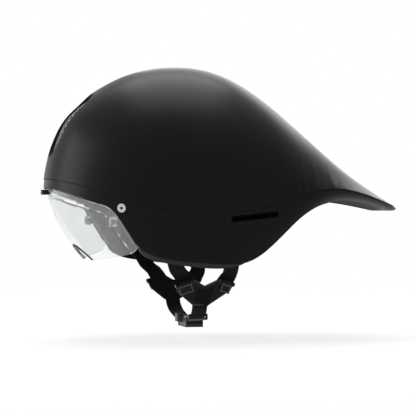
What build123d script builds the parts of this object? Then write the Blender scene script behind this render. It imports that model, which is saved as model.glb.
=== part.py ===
"""Aero time trial helmet: a teardrop shell with a clear magnetic visor and a dial retention.

Millimetres. The origin is the middle of the head cavity. The face looks along -Y, the tail
points along +Y, the rider's left side is +X and +Z is up.
"""
from math import cos, degrees, hypot, pi, radians, sin, tan
import os

from build123d import *

os.makedirs("parts", exist_ok=True)

# Outer form of the helmet
front_reach = 120.8
tail_reach = 237.0
half_width = 115.5
dome_height = 141.7
skirt_depth = 128.0
waist_drop = 31.0

# Walls and the seams between them
shell_wall = 2.0
lip_step = 0.7
parting_gap = 0.8
seat_gap = 0.3
cut_overrun = 12.0
least_size = 0.4
right_angle = 90.0

# Head cavity
head_half_length = 98.0
head_radius = 80.0
head_back_shift = 2.0
head_lift = 6.0

# Each row is one cross-section of the body, front to tail: its place as a share of the front or
# tail reach, then its drop, half width, dome and skirt as shares of their sizes.
body_shares = [
    (-1.000, 0.548, 0.017, 0.014, 0.016),
    (-0.994, 0.548, 0.156, 0.132, 0.063),
    (-0.967, 0.548, 0.277, 0.261, 0.125),
    (-0.914, 0.558, 0.394, 0.415, 0.211),
    (-0.824, 0.581, 0.524, 0.566, 0.328),
    (-0.686, 0.613, 0.662, 0.687, 0.469),
    (-0.473, 0.661, 0.814, 0.815, 0.664),
    (-0.204, 0.806, 0.931, 0.936, 0.938),
    (0.051, 0.968, 0.996, 1.000, 1.000),
    (0.211, 1.000, 1.000, 0.965, 0.859),
    (0.359, 0.839, 0.961, 0.800, 0.703),
    (0.506, 0.516, 0.892, 0.531, 0.422),
    (0.633, 0.306, 0.788, 0.294, 0.219),
    (0.759, 0.387, 0.649, 0.133, 0.133),
    (0.865, 0.597, 0.494, 0.058, 0.094),
    (0.949, 0.820, 0.312, 0.030, 0.066),
    (1.000, 0.910, 0.121, 0.010, 0.031),
]
front_rows = 11

# The seam between the two shells and the lower rim, seen from the side, as shares of the
# front or tail reach and of the waist drop.
parting_shares = [
    (-1.060, -0.080), (-0.925, 0.060), (-0.770, 0.238), (-0.611, 0.467), (-0.447, 0.690),
    (-0.297, 0.852), (0.041, 1.040), (0.204, 1.025), (0.331, 0.842), (0.463, 0.549),
    (0.580, 0.330), (0.679, 0.324), (0.811, 0.522), (0.900, 0.711), (1.034, 0.920),
]
brow_shares = [(-1.060, 0.160), (-0.987, 0.255), (-0.926, 0.350), (-0.770, 0.605), (-0.640, 0.790)]
cheek_shares = [(-0.553, 1.020), (-0.512, 1.238), (-0.458, 1.570), (-0.396, 1.960)]
skirt_shares = [
    (-0.265, 2.340), (-0.150, 2.470), (0.020, 2.560), (0.110, 2.615), (0.167, 2.630),
    (0.210, 2.625), (0.245, 2.585), (0.286, 2.460), (0.311, 2.341), (0.360, 2.031),
    (0.410, 1.665), (0.461, 1.299), (0.515, 1.006), (0.574, 0.810), (0.612, 0.740),
    (0.650, 0.690), (0.700, 0.690), (0.757, 0.745), (0.831, 0.850), (0.922, 0.968),
    (0.964, 0.990), (1.000, 0.935), (1.034, 0.880),
]
trim_shares = [
    (-0.356, 2.190), (-0.323, 2.345), (-0.243, 2.505), (-0.130, 2.610), (0.020, 2.700),
    (0.108, 2.760), (0.167, 2.750), (0.210, 2.698), (0.240, 2.605),
]
trim_wall = 3.0

# Rear arch under the tail: place as a share of the tail reach, half width as a share of the
# half width, foot and ceiling as shares of the waist drop.
arch_shares = [
    (0.405, 0.830, 1.900, 0.230), (0.530, 0.830, 1.200, 0.200), (0.675, 0.700, 0.950, 0.260),
    (0.800, 0.540, 1.050, 0.450), (0.905, 0.360, 1.150, 0.740), (0.968, 0.190, 1.220, 1.020),
]
tray_wall = 1.4
tray_front = 112.0
liner_split = 120.0
liner_level = 22.0
exhaust_reach = 158.0
exhaust_length = 34.0
exhaust_width = 12.0
exhaust_spacing = 22.0

# Front intake
intake_reach = 95.0
intake_height = 54.0
intake_lean = 35.7
intake_length = 80.0
intake_width = 48.0
intake_recess = 9.0
bezel_wall = 1.8
mesh_wall = 1.6
mesh_pitch = 6.4
mesh_web = 1.5
mesh_edge = 2.2
mesh_columns = 6
mesh_rows = 11
mesh_sides = 6
duct_length = 52.0
duct_width = 12.0
duct_spacing = 20.0

# Side vents
vent_reach = 64.0
vent_drop = 36.3
vent_length = 48.0
vent_height = 5.6
vent_tilt = 6.0
vent_depth = 9.0
vent_wall = 1.2

# Ear pockets and air channels in the liner
pocket_back_shift = 14.0
pocket_drop = 62.0
pocket_half_length = 46.0
pocket_half_height = 42.0
pocket_depth = 96.0
channel_depth = 9.0
channel_width = 15.0
channel_spacing = 34.0
channel_foot = 20.0

# Comfort pads
pad_wall = 5.5
pad_gap = 0.3
brow_pad_height = 20.0
brow_pad_lift = 4.0
brow_pad_back = 40.0
crown_pad_width = 12.0
crown_pad_half_length = 62.0
crown_pad_foot = 48.0
cheek_pad_front = 48.5
cheek_pad_back = 31.0
cheek_pad_top = 14.0
cheek_pad_bottom = 58.0
cheek_pad_corner = 6.0

# Visor lens: plan sections from top to bottom. Each row is its drop, then four points from the
# nose line outwards, and the outward turn of the surface at each point.
lens_wall = 1.8
lens_gap = 0.8
lens_front = 118.8
lens_half_width = 97.0
lens_drop = 92.0
lens_level_shares = [
    (0.065, [(0.0, 1.000), (0.464, 0.922), (0.753, 0.718), (0.905, 0.515), (0.970, 0.330)]),
    (0.370, [(0.0, 0.922), (0.425, 0.865), (0.708, 0.718), (0.897, 0.545), (0.990, 0.340)]),
    (0.674, [(0.0, 0.785), (0.425, 0.728), (0.700, 0.600), (0.903, 0.420), (1.000, 0.230)]),
    (1.000, [(0.0, 0.560), (0.410, 0.512), (0.672, 0.410), (0.877, 0.260), (0.980, 0.080)]),
]
lens_turn_shares = [(0.0, 1.0), (0.28, 0.96), (0.60, 0.80), (0.85, 0.53), (0.96, 0.28)]
lens_bottom_shares = [(-0.400, 2.290), (-0.490, 2.400), (-0.590, 2.490), (-0.690, 2.590), (-0.900, 2.680)]
notch_half_width = 25.0
notch_height = 18.0
notch_drop = 84.0
nose_trim_width = 2.0
nose_trim_proud = 0.7
clip_width = 11.0
clip_height = 5.0
clip_depth = 7.4
clip_drop = 10.0
clip_proud = 4.8
clip_corner = 1.4
tab_height = 9.0
tab_depth = 5.0
tab_reach = 66.0
tab_drop = 41.0
tab_margin = 1.5
magnet_side = 74.0
tab_corner = 1.5
fit_gap = 0.1
magnet_radius = 3.0
magnet_wall = 2.0

# Temple rings
ring_reach = 60.5
ring_drop = 28.0
ring_radius = 4.2
ring_hole_radius = 1.3
ring_proud = 0.8
ring_head_wall = 1.6
ring_stem_radius = 2.0
ring_stem_length = 7.0

# Retention bands: arcs about a standing axis behind the head's middle
arc_radius = 72.0
arc_back_shift = 22.0
dial_drop = 38.0
band_wall = 1.6
band_tip_half_height = 4.0
band_full_start = 24.5
band_taper_start = 36.0
band_taper_end = 44.0
band_end = 66.0
band_middle = 45.0
rack_end = 10.8
rack_strip = 2.0
gear_module = 1.0
gear_teeth = 10
rack_teeth = 8
rack_addendum = 0.8
rack_dedendum = 1.0
rack_tip_width = 0.75
rack_root_width = 1.45
pinion_tip_radius = 5.75
pinion_root_radius = 3.8
pinion_tip_width = 0.6
pinion_root_width = 1.7
band_gap = 0.3

# Band guides on the liner
guide_angle = 54.0
guide_width = 7.0
guide_post = 3.0
guide_travel = 5.0
guide_play = 0.5
guide_bridge = 1.6
guide_depth = 6.0

# Dial housing
housing_half_width = 22.0
housing_half_height = 14.5
housing_corner = 9.0
housing_back = 99.0
base_wall = 2.2
cradle_wall = 2.0
cradle_gap = 0.1
shaft_radius = 3.0
shaft_clearance = 0.05
tongue_half_width = 10.0
tongue_top = 14.0
tongue_wall = 3.0
hook_height = 8.0
hook_wall = 2.4
hook_lip = 1.4
hook_reach = 1.8
rail_half_width = 6.0
rail_wall = 2.2
rail_clearance = 0.3
rail_foot = 28.0
rail_top = 5.0
rail_flange_front = 98.5
rail_flange_half_width = 10.0
rail_flange_back = 110.0
rail_flange_wall = 3.0
rail_notch_radius = 0.7
rail_notch_pitch = 2.5
rail_notch_count = 6

# Dial
knob_radius = 15.0
knob_front = 102.5
knob_depth = 8.5
knob_dish = 3.0
knob_rim = 2.6
flute_count = 18
flute_radius = 1.5
screw_head_radius = 3.2
screw_head_wall = 1.4
screw_radius = 1.3
journal_radius = 1.6

# Nape cradle and its pads
cradle_half_angle = 33.0
cradle_lobe_height = 22.0
cradle_lobe_drop = 60.0
cradle_neck_half_width = 15.0
cradle_top = 26.0
nape_pad_wall = 5.0
nape_pad_length = 24.0
nape_pad_height = 16.0
nape_pad_spread = 20.0

# Straps
strap_width = 15.0
strap_wall = 1.6
strap_foot = 104.0
strap_gate_drop = 97.0
strap_edge_drop = 93.5
front_foot_place = 10.0
front_gate_place = 5.0
rear_foot_place = 42.0
rear_gate_place = 47.0
front_strap_places = [(75.0, -4.0, -87.0), (84.0, -9.0, -75.0), (91.0, -14.0, -61.0), (93.0, -17.0, -46.0)]
rear_strap_places = [(75.0, 49.5, -87.0), (84.0, 48.5, -75.0), (91.0, 46.2, -61.0), (93.0, 44.0, -46.0)]
anchor_radius = 8.0
anchor_wall = 1.6

# Y dividers and their cam gates
divider_place = (68.0, 25.0, -107.0)
divider_tilt = 9.5
divider_width = 59.0
divider_height = 26.5
divider_wall = 2.4
divider_corner = 1.6
divider_shares = [
    (-0.508, 0.226), (-0.220, 0.430), (0.0, 0.151), (0.271, 0.430), (0.492, 0.264),
    (0.424, -0.038), (0.068, -0.566), (-0.195, -0.566), (-0.441, -0.113),
]
gate_radius = 1.7
gate_height = 10.0
gate_wall = 2.2
gate_axis_offset = 3.2
gate_axis_drop = 2.0
gate_margin = 0.3
gate_rim = 1.5
gate_recess = 0.8
ear_wall = 1.8
ear_radius = 2.0
gate_pin_radius = 0.8
gate_pin_clearance = 0.06

# Chin buckle
buckle_place = (0.0, 26.0, -141.2)
buckle_half_length = 19.0
buckle_lap = 10.0
buckle_width = 18.0
buckle_half_wall = 4.6
buckle_gap = 0.3
buckle_corner = 1.6
rail_stem_half_width = 2.2
rail_head_half_width = 3.6
rail_stem_height = 1.4
rail_head_height = 1.4
rail_end_margin = 2.2
buckle_magnet_radius = 2.2
buckle_magnet_wall = 1.6
buckle_magnet_place = 7.2
buckle_end_step = 1.5
pull_length = 3.0
pull_width = 12.0
pull_height = 8.0
chin_start_drop = 112.0
chin_bend_drop = 123.0
chin_curve_shares = [(0.07, 0.24), (0.25, 0.52), (0.62, 0.80)]
chin_place = 21.5
chin_end_margin = 5.0
keeper_share = 0.62
keeper_length = 6.0
keeper_wall = 1.6


def station(row):
    """A row of shares as sizes: place, middle height, half width, dome and skirt."""
    reach_share, drop_share, width_share, dome_share, skirt_share = row
    reach = front_reach if reach_share < 0 else tail_reach
    return (
        reach_share * reach,
        -drop_share * waist_drop,
        width_share * half_width,
        dome_share * dome_height,
        skirt_share * skirt_depth,
    )


def inset_station(rows, index, inset):
    """The same cross-section on a surface that lies the inset inside the outer one."""
    place, middle, width, dome, skirt = rows[index]
    if index == 0:
        return place + inset, middle, width, dome, skirt
    before = rows[index - 1]
    after = rows[min(index + 1, len(rows) - 1)]
    run = after[0] - before[0]
    side = (after[2] - before[2]) / run
    top = (after[1] + after[3] - before[1] - before[3]) / run
    bottom = (after[1] - after[4] - before[1] + before[4]) / run
    shift = inset * max(side, 0) / hypot(1, side)
    new_middle = middle + shift * (after[1] - before[1]) / run
    new_width = width + shift * side - inset * hypot(1, side)
    new_top = middle + dome + shift * top - inset * hypot(1, top)
    new_bottom = middle - skirt + shift * bottom + inset * hypot(1, bottom)
    return (
        place + shift,
        new_middle,
        max(new_width, least_size),
        max(new_top - new_middle, least_size),
        max(new_middle - new_bottom, least_size),
    )


def body_form(inset, row_count):
    """The lofted body, drawn in by the inset, through the first rows of its table."""
    rows = [station(row) for row in body_shares]
    with BuildPart() as form:
        for index in range(row_count):
            place, middle, width, dome, skirt = inset_station(rows, index, inset)
            with BuildSketch(Plane.XZ.offset(-place)):
                with BuildLine():
                    EllipticalCenterArc((0, middle), width, dome, start_angle=0, arc_size=90)
                    EllipticalCenterArc((0, middle), width, dome, start_angle=90, arc_size=90)
                    EllipticalCenterArc((0, middle), width, skirt, start_angle=180, arc_size=90)
                    EllipticalCenterArc((0, middle), width, skirt, start_angle=270, arc_size=90)
                make_face()
        loft()
    return form.part


def side_points(shares, lift):
    """Side-view shares as points in the YZ plane, moved up by the lift."""
    points = []
    for reach_share, drop_share in shares:
        reach = front_reach if reach_share < 0 else tail_reach
        points.append((reach_share * reach, -drop_share * waist_drop + lift))
    return points


def zone_above(shares, lift):
    """Everything above a side-view curve."""
    points = side_points(shares, lift)
    roof = dome_height + cut_overrun
    with BuildPart() as zone:
        with BuildSketch(Plane.YZ):
            with BuildLine():
                Spline(*points)
                Polyline(points[-1], (points[-1][0], roof), (points[0][0], roof), points[0])
            make_face()
        extrude(amount=half_width + cut_overrun, both=True)
    return zone.part


def rim_zone(lift):
    """Everything above the brow, round the face opening and above the skirt and tail rim."""
    brow = side_points(brow_shares, lift)
    cheek = side_points(cheek_shares, lift)
    skirt = side_points(skirt_shares, lift)
    roof = dome_height + cut_overrun
    with BuildPart() as zone:
        with BuildSketch(Plane.YZ):
            with BuildLine():
                brow_line = Spline(*brow)
                cheek_line = Spline(*cheek)
                skirt_line = Spline(*skirt)
                TangentArc(brow_line @ 1, cheek_line @ 0, tangent=brow_line % 1)
                TangentArc(skirt_line @ 0, cheek_line @ 1, tangent=(skirt_line % 0) * -1)
                Polyline(skirt[-1], (skirt[-1][0], roof), (brow[0][0], roof), brow[0])
            make_face()
        extrude(amount=half_width + cut_overrun, both=True)
    return zone.part


def cavity_form(grow):
    """The head's room: half an ellipsoid over a straight well of the same plan."""
    length = head_half_length + grow
    radius = head_radius + grow
    well_depth = skirt_depth + cut_overrun
    with BuildPart() as form:
        with BuildSketch(Plane.XY):
            with BuildLine():
                EllipticalCenterArc((0, 0), radius, length, start_angle=-90, arc_size=180)
                Line((0, length), (0, -length))
            make_face()
        revolve(axis=Axis.Y, revolution_arc=360)
        with BuildSketch(Plane.XY):
            Ellipse(radius, length)
        extrude(amount=-well_depth)
    return form.part.moved(Location((0, head_back_shift, head_lift)))


def arch_form(grow):
    """The room under the tail, a run of half ellipses that shrinks towards the tip."""
    with BuildPart() as form:
        for reach_share, width_share, foot_share, ceiling_share in arch_shares:
            foot = -foot_share * waist_drop
            height = (foot_share - ceiling_share) * waist_drop + grow
            width = width_share * half_width + grow
            with BuildSketch(Plane.XZ.offset(-reach_share * tail_reach)):
                with BuildLine():
                    EllipticalCenterArc((0, foot), width, height, start_angle=0, arc_size=90)
                    EllipticalCenterArc((0, foot), width, height, start_angle=90, arc_size=90)
                    Line((-width, foot), (width, foot))
                make_face()
        loft()
    return form.part


def slab(low, high):
    """A plain block between two corners, used to keep one region of a form."""
    size = [high[axis] - low[axis] for axis in range(3)]
    with BuildPart() as block:
        with Locations(tuple((low[axis] + high[axis]) / 2 for axis in range(3))):
            Box(*size)
    return block.part


def finish(part, name):
    """Label a finished piece and write it."""
    part.label = name
    export_step(part, f"parts/{name}.step")
    print(name, round(part.volume, 1), len(part.solids()))


outer_form = body_form(0, len(body_shares))
lower_outer_form = body_form(lip_step, len(body_shares))
inner_form = body_form(shell_wall, len(body_shares) - 1)
liner_form = body_form(shell_wall + seat_gap, len(body_shares) - 1)
upper_zone = zone_above(parting_shares, parting_gap / 2)
lower_zone = zone_above(parting_shares, -parting_gap / 2)
rim = rim_zone(0)
arch = arch_form(0)
arch_roof = arch_form(tray_wall)
cavity = cavity_form(0)

# Planes and prisms of the vents
intake_plane = Plane(
    origin=(0, -intake_reach, intake_height),
    x_dir=(1, 0, 0),
    z_dir=(0, -cos(radians(intake_lean)), sin(radians(intake_lean))),
)


def intake_prism(grow):
    """The pill-shaped outline of the front intake, run through the front of the helmet."""
    with BuildPart() as prism:
        with BuildSketch(intake_plane.offset(-intake_width)):
            SlotOverall(intake_length + 2 * grow, intake_width + 2 * grow, rotation=90)
        extrude(amount=2 * intake_width)
    return prism.part


def vent_plane(side):
    """The plane of a side vent, with its long way tilted up towards the tail."""
    tilt = radians(vent_tilt)
    return Plane(
        origin=(side * half_width, vent_reach, -vent_drop),
        x_dir=(0, cos(tilt), sin(tilt)),
        z_dir=(side, 0, 0),
    )


def vent_prism(side, grow):
    """The slot of a side vent, run from outside the shell to the foot of its insert."""
    with BuildPart() as prism:
        with BuildSketch(vent_plane(side).offset(cut_overrun)):
            SlotOverall(vent_length + 2 * grow, vent_height + 2 * grow)
        extrude(amount=-cut_overrun - vent_depth - grow)
    return prism.part


tab_back = Plane.XZ.offset(tab_reach - tab_depth / 2)


def tab_block(grow):
    """The two blocks that reach in from the visor at the temples."""
    tab_inner = magnet_side - magnet_radius - tab_margin
    with BuildPart() as block:
        with BuildSketch(tab_back.offset(-grow)):
            for side in (1, -1):
                with Locations((side * (tab_inner + half_width) / 2, -tab_drop)):
                    RectangleRounded(half_width - tab_inner + 2 * grow, tab_height + 2 * grow, tab_corner)
        extrude(amount=tab_depth + 2 * grow)
    return block.part


def surface_plane(form, place, height):
    """A plane on the left side of a form, facing straight out of it."""
    hits = form.find_intersection_points(Axis((0, place, height), (1, 0, 0)))
    point, normal = max(hits, key=lambda hit: hit[0].X)
    return Plane(origin=point, x_dir=(0, 1, 0), z_dir=normal)


ring_plane = surface_plane(lower_outer_form, -ring_reach, -ring_drop)


def ring_form(grow):
    """The ring screws of both temples: a head on the ear cover and a stem into the liner."""
    with BuildPart() as rings:
        with BuildSketch(ring_plane.offset(ring_proud - ring_head_wall - grow)):
            Circle(ring_radius + grow)
        extrude(amount=ring_head_wall + 2 * grow)
        with BuildSketch(ring_plane.offset(ring_proud - ring_head_wall)):
            Circle(ring_stem_radius + grow)
        extrude(amount=-ring_stem_length - grow)
        mirror(about=Plane.YZ)
    return rings.part


# Upper shell, with the opening of the front intake
intake_cut = intake_prism(seat_gap / 2)
with BuildPart() as upper_shell:
    add(outer_form)
    add(inner_form, mode=Mode.SUBTRACT)
    add(upper_zone, mode=Mode.INTERSECT)
    add(intake_cut, mode=Mode.SUBTRACT)
finish(upper_shell.part, "upper_shell")

# Lower shell: brow band, ear covers, side vents and the edge of the tail
vent_cuts = [vent_prism(side, seat_gap / 2) for side in (1, -1)]
ring_cut = ring_form(fit_gap)
with BuildPart() as lower_shell:
    add(lower_outer_form)
    add(inner_form, mode=Mode.SUBTRACT)
    add(lower_zone, mode=Mode.SUBTRACT)
    add(rim, mode=Mode.INTERSECT)
    add(vent_cuts, mode=Mode.SUBTRACT)
    add(arch, mode=Mode.SUBTRACT)
    add(ring_cut, mode=Mode.SUBTRACT)
finish(lower_shell.part, "lower_shell")

# Liner foam, as one block before it is cut into the crown, ear and tail liners
floor_form = body_form(intake_recess, front_rows)
under_floor_form = body_form(intake_recess + mesh_wall, front_rows)
under_mesh_form = body_form(intake_recess + mesh_wall + seat_gap, front_rows)
pocket_prism = intake_prism(seat_gap)
with BuildPart() as intake_pocket:
    add(pocket_prism)
    add(under_mesh_form, mode=Mode.SUBTRACT)

with BuildPart() as ear_pockets:
    for side in (1, -1):
        with BuildSketch(Plane.YZ):
            with Locations((pocket_back_shift, -pocket_drop)):
                Ellipse(pocket_half_length, pocket_half_height)
        extrude(amount=side * pocket_depth)

channel_form = cavity_form(channel_depth)
with BuildPart() as air_channels:
    add(channel_form)
    with BuildSketch(Plane.XY.offset(channel_foot)):
        with GridLocations(channel_spacing, 0, 2, 1):
            Rectangle(channel_width, 2 * (head_half_length + channel_depth + cut_overrun))
    extrude(amount=dome_height, mode=Mode.INTERSECT)

with BuildPart() as air_ducts:
    with BuildSketch(intake_plane.offset(intake_width)):
        with GridLocations(duct_spacing, 0, 2, 1):
            SlotOverall(duct_length, duct_width, rotation=90)
    extrude(amount=-3 * intake_width)
    add(under_floor_form, mode=Mode.INTERSECT)

guide_window = band_tip_half_height + guide_travel + guide_play
guide_half_height = guide_window + guide_post
anchor_low = (
    -rail_flange_half_width - rail_clearance,
    rail_flange_front - rail_clearance,
    -3 * rail_top,
)
anchor_high = (
    rail_flange_half_width + rail_clearance,
    rail_flange_back + rail_clearance,
    -rail_top + rail_clearance,
)


def band_plane(angle, radius):
    """A plane on the band arc, facing away from its axis, at an angle from the tail side."""
    turn = radians(angle)
    return Plane(
        origin=(radius * sin(turn), arc_back_shift + radius * cos(turn), -dial_drop),
        x_dir=(-cos(turn), sin(turn), 0),
        z_dir=(sin(turn), cos(turn), 0),
    )


liner_rim = rim_zone(tray_wall + seat_gap)
liner_arch = arch_form(tray_wall + seat_gap)
liner_vent_cuts = [vent_prism(side, seat_gap) for side in (1, -1)]
rail_cut = slab(anchor_low, anchor_high)
with BuildPart() as liner_block:
    add(liner_form)
    add(liner_rim, mode=Mode.INTERSECT)
    add(cavity, mode=Mode.SUBTRACT)
    add(air_channels.part, mode=Mode.SUBTRACT)
    add(ear_pockets.part, mode=Mode.SUBTRACT)
    add(intake_pocket.part, mode=Mode.SUBTRACT)
    add(air_ducts.part, mode=Mode.SUBTRACT)
    add(liner_vent_cuts, mode=Mode.SUBTRACT)
    add(liner_arch, mode=Mode.SUBTRACT)
    add(rail_cut, mode=Mode.SUBTRACT)
    for side in (1, -1):
        with BuildSketch(band_plane(side * guide_angle, arc_radius)):
            Rectangle(guide_width + 2 * seat_gap, 2 * guide_half_height + 2 * seat_gap)
        extrude(amount=guide_depth + seat_gap, mode=Mode.SUBTRACT)

front_half = slab(
    (-half_width, -front_reach, -skirt_depth - waist_drop),
    (half_width, liner_split - seat_gap / 2, dome_height),
)
lower_half = slab(
    (-half_width, -front_reach, -skirt_depth - waist_drop),
    (half_width, tail_reach, -liner_level - seat_gap / 2),
)
tab_room = tab_block(seat_gap)

# Crown liner: the foam over the head, from the brow to the nape
with BuildPart() as crown_liner:
    add(liner_block.part)
    add(front_half, mode=Mode.INTERSECT)
    add(lower_half.moved(Location((0, 0, seat_gap))), mode=Mode.SUBTRACT)
    add(ring_cut, mode=Mode.SUBTRACT)
finish(crown_liner.part, "crown_liner")

# Ear liners: the foam walls beside the ears, with the seats of the visor tabs
with BuildPart() as ear_walls:
    add(liner_block.part)
    add(front_half, mode=Mode.INTERSECT)
    add(lower_half, mode=Mode.INTERSECT)
    add(ring_cut, mode=Mode.SUBTRACT)
    add(tab_room, mode=Mode.SUBTRACT)
    with BuildSketch(tab_back.offset(-seat_gap)):
        with Locations((magnet_side, -tab_drop), (-magnet_side, -tab_drop)):
            Circle(magnet_radius + fit_gap)
    extrude(amount=-magnet_wall - fit_gap, mode=Mode.SUBTRACT)

for side, word in ((1, "left"), (-1, "right")):
    side_half = slab(
        (min(side * half_width, 0), -front_reach, -skirt_depth - waist_drop),
        (max(side * half_width, 0), tail_reach, dome_height),
    )
    with BuildPart() as ear_liner:
        add(ear_walls.part)
        add(side_half, mode=Mode.INTERSECT)
    finish(ear_liner.part, f"ear_liner_{word}")

with BuildPart() as tail_liner:
    add(liner_block.part)
    add(front_half.moved(Location((0, seat_gap, 0))), mode=Mode.SUBTRACT)
finish(tail_liner.part, "tail_liner")

# Tray that closes the underside of the tail, with three exhaust ports
tray_rim = rim_zone(tray_wall)
with BuildPart() as tray_ceiling:
    add(tray_rim)
    add(arch_roof, mode=Mode.SUBTRACT)

with BuildPart() as exhaust_ports:
    with BuildSketch(Plane.XY.offset(-skirt_depth)):
        with Locations((0, exhaust_reach)):
            with GridLocations(exhaust_spacing, 0, 3, 1):
                SlotOverall(exhaust_length, exhaust_width, rotation=90)
    extrude(amount=2 * skirt_depth)

tray_half = slab((-half_width, tray_front, -skirt_depth), (half_width, tail_reach, dome_height))
with BuildPart() as tail_tray:
    add(inner_form)
    add(tray_ceiling.part, mode=Mode.SUBTRACT)
    add(arch, mode=Mode.SUBTRACT)
    add(rim, mode=Mode.INTERSECT)
    add(tray_half, mode=Mode.INTERSECT)
    add(exhaust_ports.part, mode=Mode.SUBTRACT)
finish(tail_tray.part, "tail_tray")

# Bezel and mesh of the front intake
bezel_outline = intake_prism(0)
bezel_opening = intake_prism(-bezel_wall)
with BuildPart() as intake_bezel:
    add(bezel_outline)
    add(bezel_opening, mode=Mode.SUBTRACT)
    add(outer_form, mode=Mode.INTERSECT)
    add(under_floor_form, mode=Mode.SUBTRACT)
finish(intake_bezel.part, "intake_bezel")

with BuildPart() as intake_mesh:
    add(bezel_opening)
    add(floor_form, mode=Mode.INTERSECT)
    add(under_floor_form, mode=Mode.SUBTRACT)
    with BuildSketch(intake_plane.offset(-intake_width)):
        with HexLocations(mesh_pitch / 2, mesh_columns, mesh_rows, major_radius=False):
            RegularPolygon((mesh_pitch - mesh_web) / 2, mesh_sides, major_radius=False)
        SlotOverall(
            intake_length - 2 * bezel_wall - 2 * mesh_edge,
            intake_width - 2 * bezel_wall - 2 * mesh_edge,
            rotation=90,
            mode=Mode.INTERSECT,
        )
    extrude(amount=2 * intake_width, mode=Mode.SUBTRACT)
finish(intake_mesh.part, "intake_mesh")

# Dark inserts that line the side vents
for side, word in ((1, "left"), (-1, "right")):
    insert_form = vent_prism(side, 0)
    with BuildPart() as vent_insert:
        add(insert_form)
        with BuildSketch(vent_plane(side).offset(cut_overrun)):
            SlotOverall(vent_length - 2 * vent_wall, vent_height - 2 * vent_wall)
        extrude(amount=-cut_overrun - vent_depth + vent_wall, mode=Mode.SUBTRACT)
        add(lower_outer_form, mode=Mode.INTERSECT)
    finish(vent_insert.part, f"side_vent_{word}")

# Rubber trim under the ear covers
with BuildPart() as trim_zone:
    with BuildSketch(Plane.YZ):
        with BuildLine():
            trim_low = Spline(*side_points(trim_shares, 0))
            Polyline(trim_low @ 1, ((trim_low @ 1).X, 0), ((trim_low @ 0).X, 0), trim_low @ 0)
        make_face()
    extrude(amount=half_width, both=True)
    add(rim, mode=Mode.SUBTRACT)

trim_inner_form = body_form(shell_wall + trim_wall, len(body_shares) - 1)
with BuildPart() as rim_trim:
    add(inner_form)
    add(trim_inner_form, mode=Mode.SUBTRACT)
    add(trim_zone.part, mode=Mode.INTERSECT)
finish(rim_trim.part, "rim_trim")

# Ring screws that fix the ear covers at the temples
ring_screws = ring_form(0)
with BuildPart() as temple_rings:
    add(ring_screws)
    with BuildSketch(ring_plane.offset(ring_proud)):
        Circle(ring_hole_radius)
    ring_hole = extrude(amount=-ring_head_wall, mode=Mode.PRIVATE)
    add(ring_hole, mode=Mode.SUBTRACT)
    add(ring_hole.mirror(Plane.YZ), mode=Mode.SUBTRACT)
finish(temple_rings.part, "temple_rings")


def lens_form(inset):
    """The visor's surface, lofted through plan sections from the brow down to the nose."""
    with BuildPart() as form:
        for drop_share, points in lens_level_shares:
            half = []
            for (width_share, front_share), (side_share, ahead_share) in zip(points, lens_turn_shares):
                x = width_share * lens_half_width - inset * side_share
                y = -front_share * lens_front + inset * ahead_share
                half.append((x, y))
            half[0] = (0, half[0][1])
            outline = [(-x, y) for x, y in reversed(half[1:])] + half
            with BuildSketch(Plane.XY.offset(-drop_share * lens_drop)):
                with BuildLine():
                    Spline(*outline)
                    Line(outline[-1], outline[0])
                make_face()
        loft()
    return form.part


def notch_prism(grow):
    """The nose notch, run through the front of the visor."""
    with BuildPart() as prism:
        with BuildSketch(Plane.XZ):
            with Locations((0, -notch_drop)):
                Ellipse(notch_half_width + grow, notch_height + grow)
        extrude(amount=lens_front + cut_overrun)
    return prism.part


# Side outline of the lens: under the brow, ahead of the cheek edge, above its own lower edge
lens_bottom = side_points(lens_bottom_shares, 0)
brow_gap_zone = rim_zone(-lens_gap)
with BuildPart() as lens_zone:
    with BuildSketch(Plane.YZ):
        with BuildLine():
            lower_edge = Spline(*lens_bottom)
            Polyline(lower_edge @ 1, (-front_reach - cut_overrun, 0), (0, 0), lower_edge @ 0)
        make_face()
    extrude(amount=half_width, both=True)
    add(brow_gap_zone, mode=Mode.SUBTRACT)
    add(rim.moved(Location((0, -lens_gap, 0))), mode=Mode.SUBTRACT)

lens_outer = lens_form(0)
lens_inner = lens_form(lens_wall)
notch = notch_prism(0)
with BuildPart() as visor_lens:
    add(lens_outer)
    add(lens_inner, mode=Mode.SUBTRACT)
    add(lens_zone.part, mode=Mode.INTERSECT)
    add(notch, mode=Mode.SUBTRACT)
finish(visor_lens.part, "visor_lens")

# Visor fittings: rubber nose trim, brow clip, side tabs and their magnets
nose_trim_outer = lens_form(-nose_trim_proud)
nose_trim_inner = lens_form(lens_wall + nose_trim_proud)
nose_trim_outline = notch_prism(nose_trim_width)
with BuildPart() as nose_trim:
    add(nose_trim_outer)
    add(nose_trim_inner, mode=Mode.SUBTRACT)
    add(lens_zone.part, mode=Mode.INTERSECT)
    add(nose_trim_outline, mode=Mode.INTERSECT)
    add(notch, mode=Mode.SUBTRACT)
    add(visor_lens.part, mode=Mode.SUBTRACT)
finish(nose_trim.part, "nose_trim")

with BuildPart() as visor_clip:
    with BuildSketch(Plane.XY.offset(-clip_drop)):
        with Locations((0, -lens_front - clip_proud + clip_depth / 2)):
            Rectangle(clip_width, clip_depth)
    extrude(amount=-clip_height)
    fillet(visor_clip.edges().filter_by(Axis.Y), radius=clip_corner)
    add(visor_lens.part, mode=Mode.SUBTRACT)
finish(visor_clip.part, "visor_clip")

tab_form = tab_block(0)
with BuildPart() as visor_tabs:
    add(tab_form)
    add(lens_inner, mode=Mode.INTERSECT)
    with BuildSketch(tab_back):
        with Locations((magnet_side, -tab_drop), (-magnet_side, -tab_drop)):
            Circle(magnet_radius + fit_gap)
    extrude(amount=magnet_wall, mode=Mode.SUBTRACT)
finish(visor_tabs.part, "visor_tabs")

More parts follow.
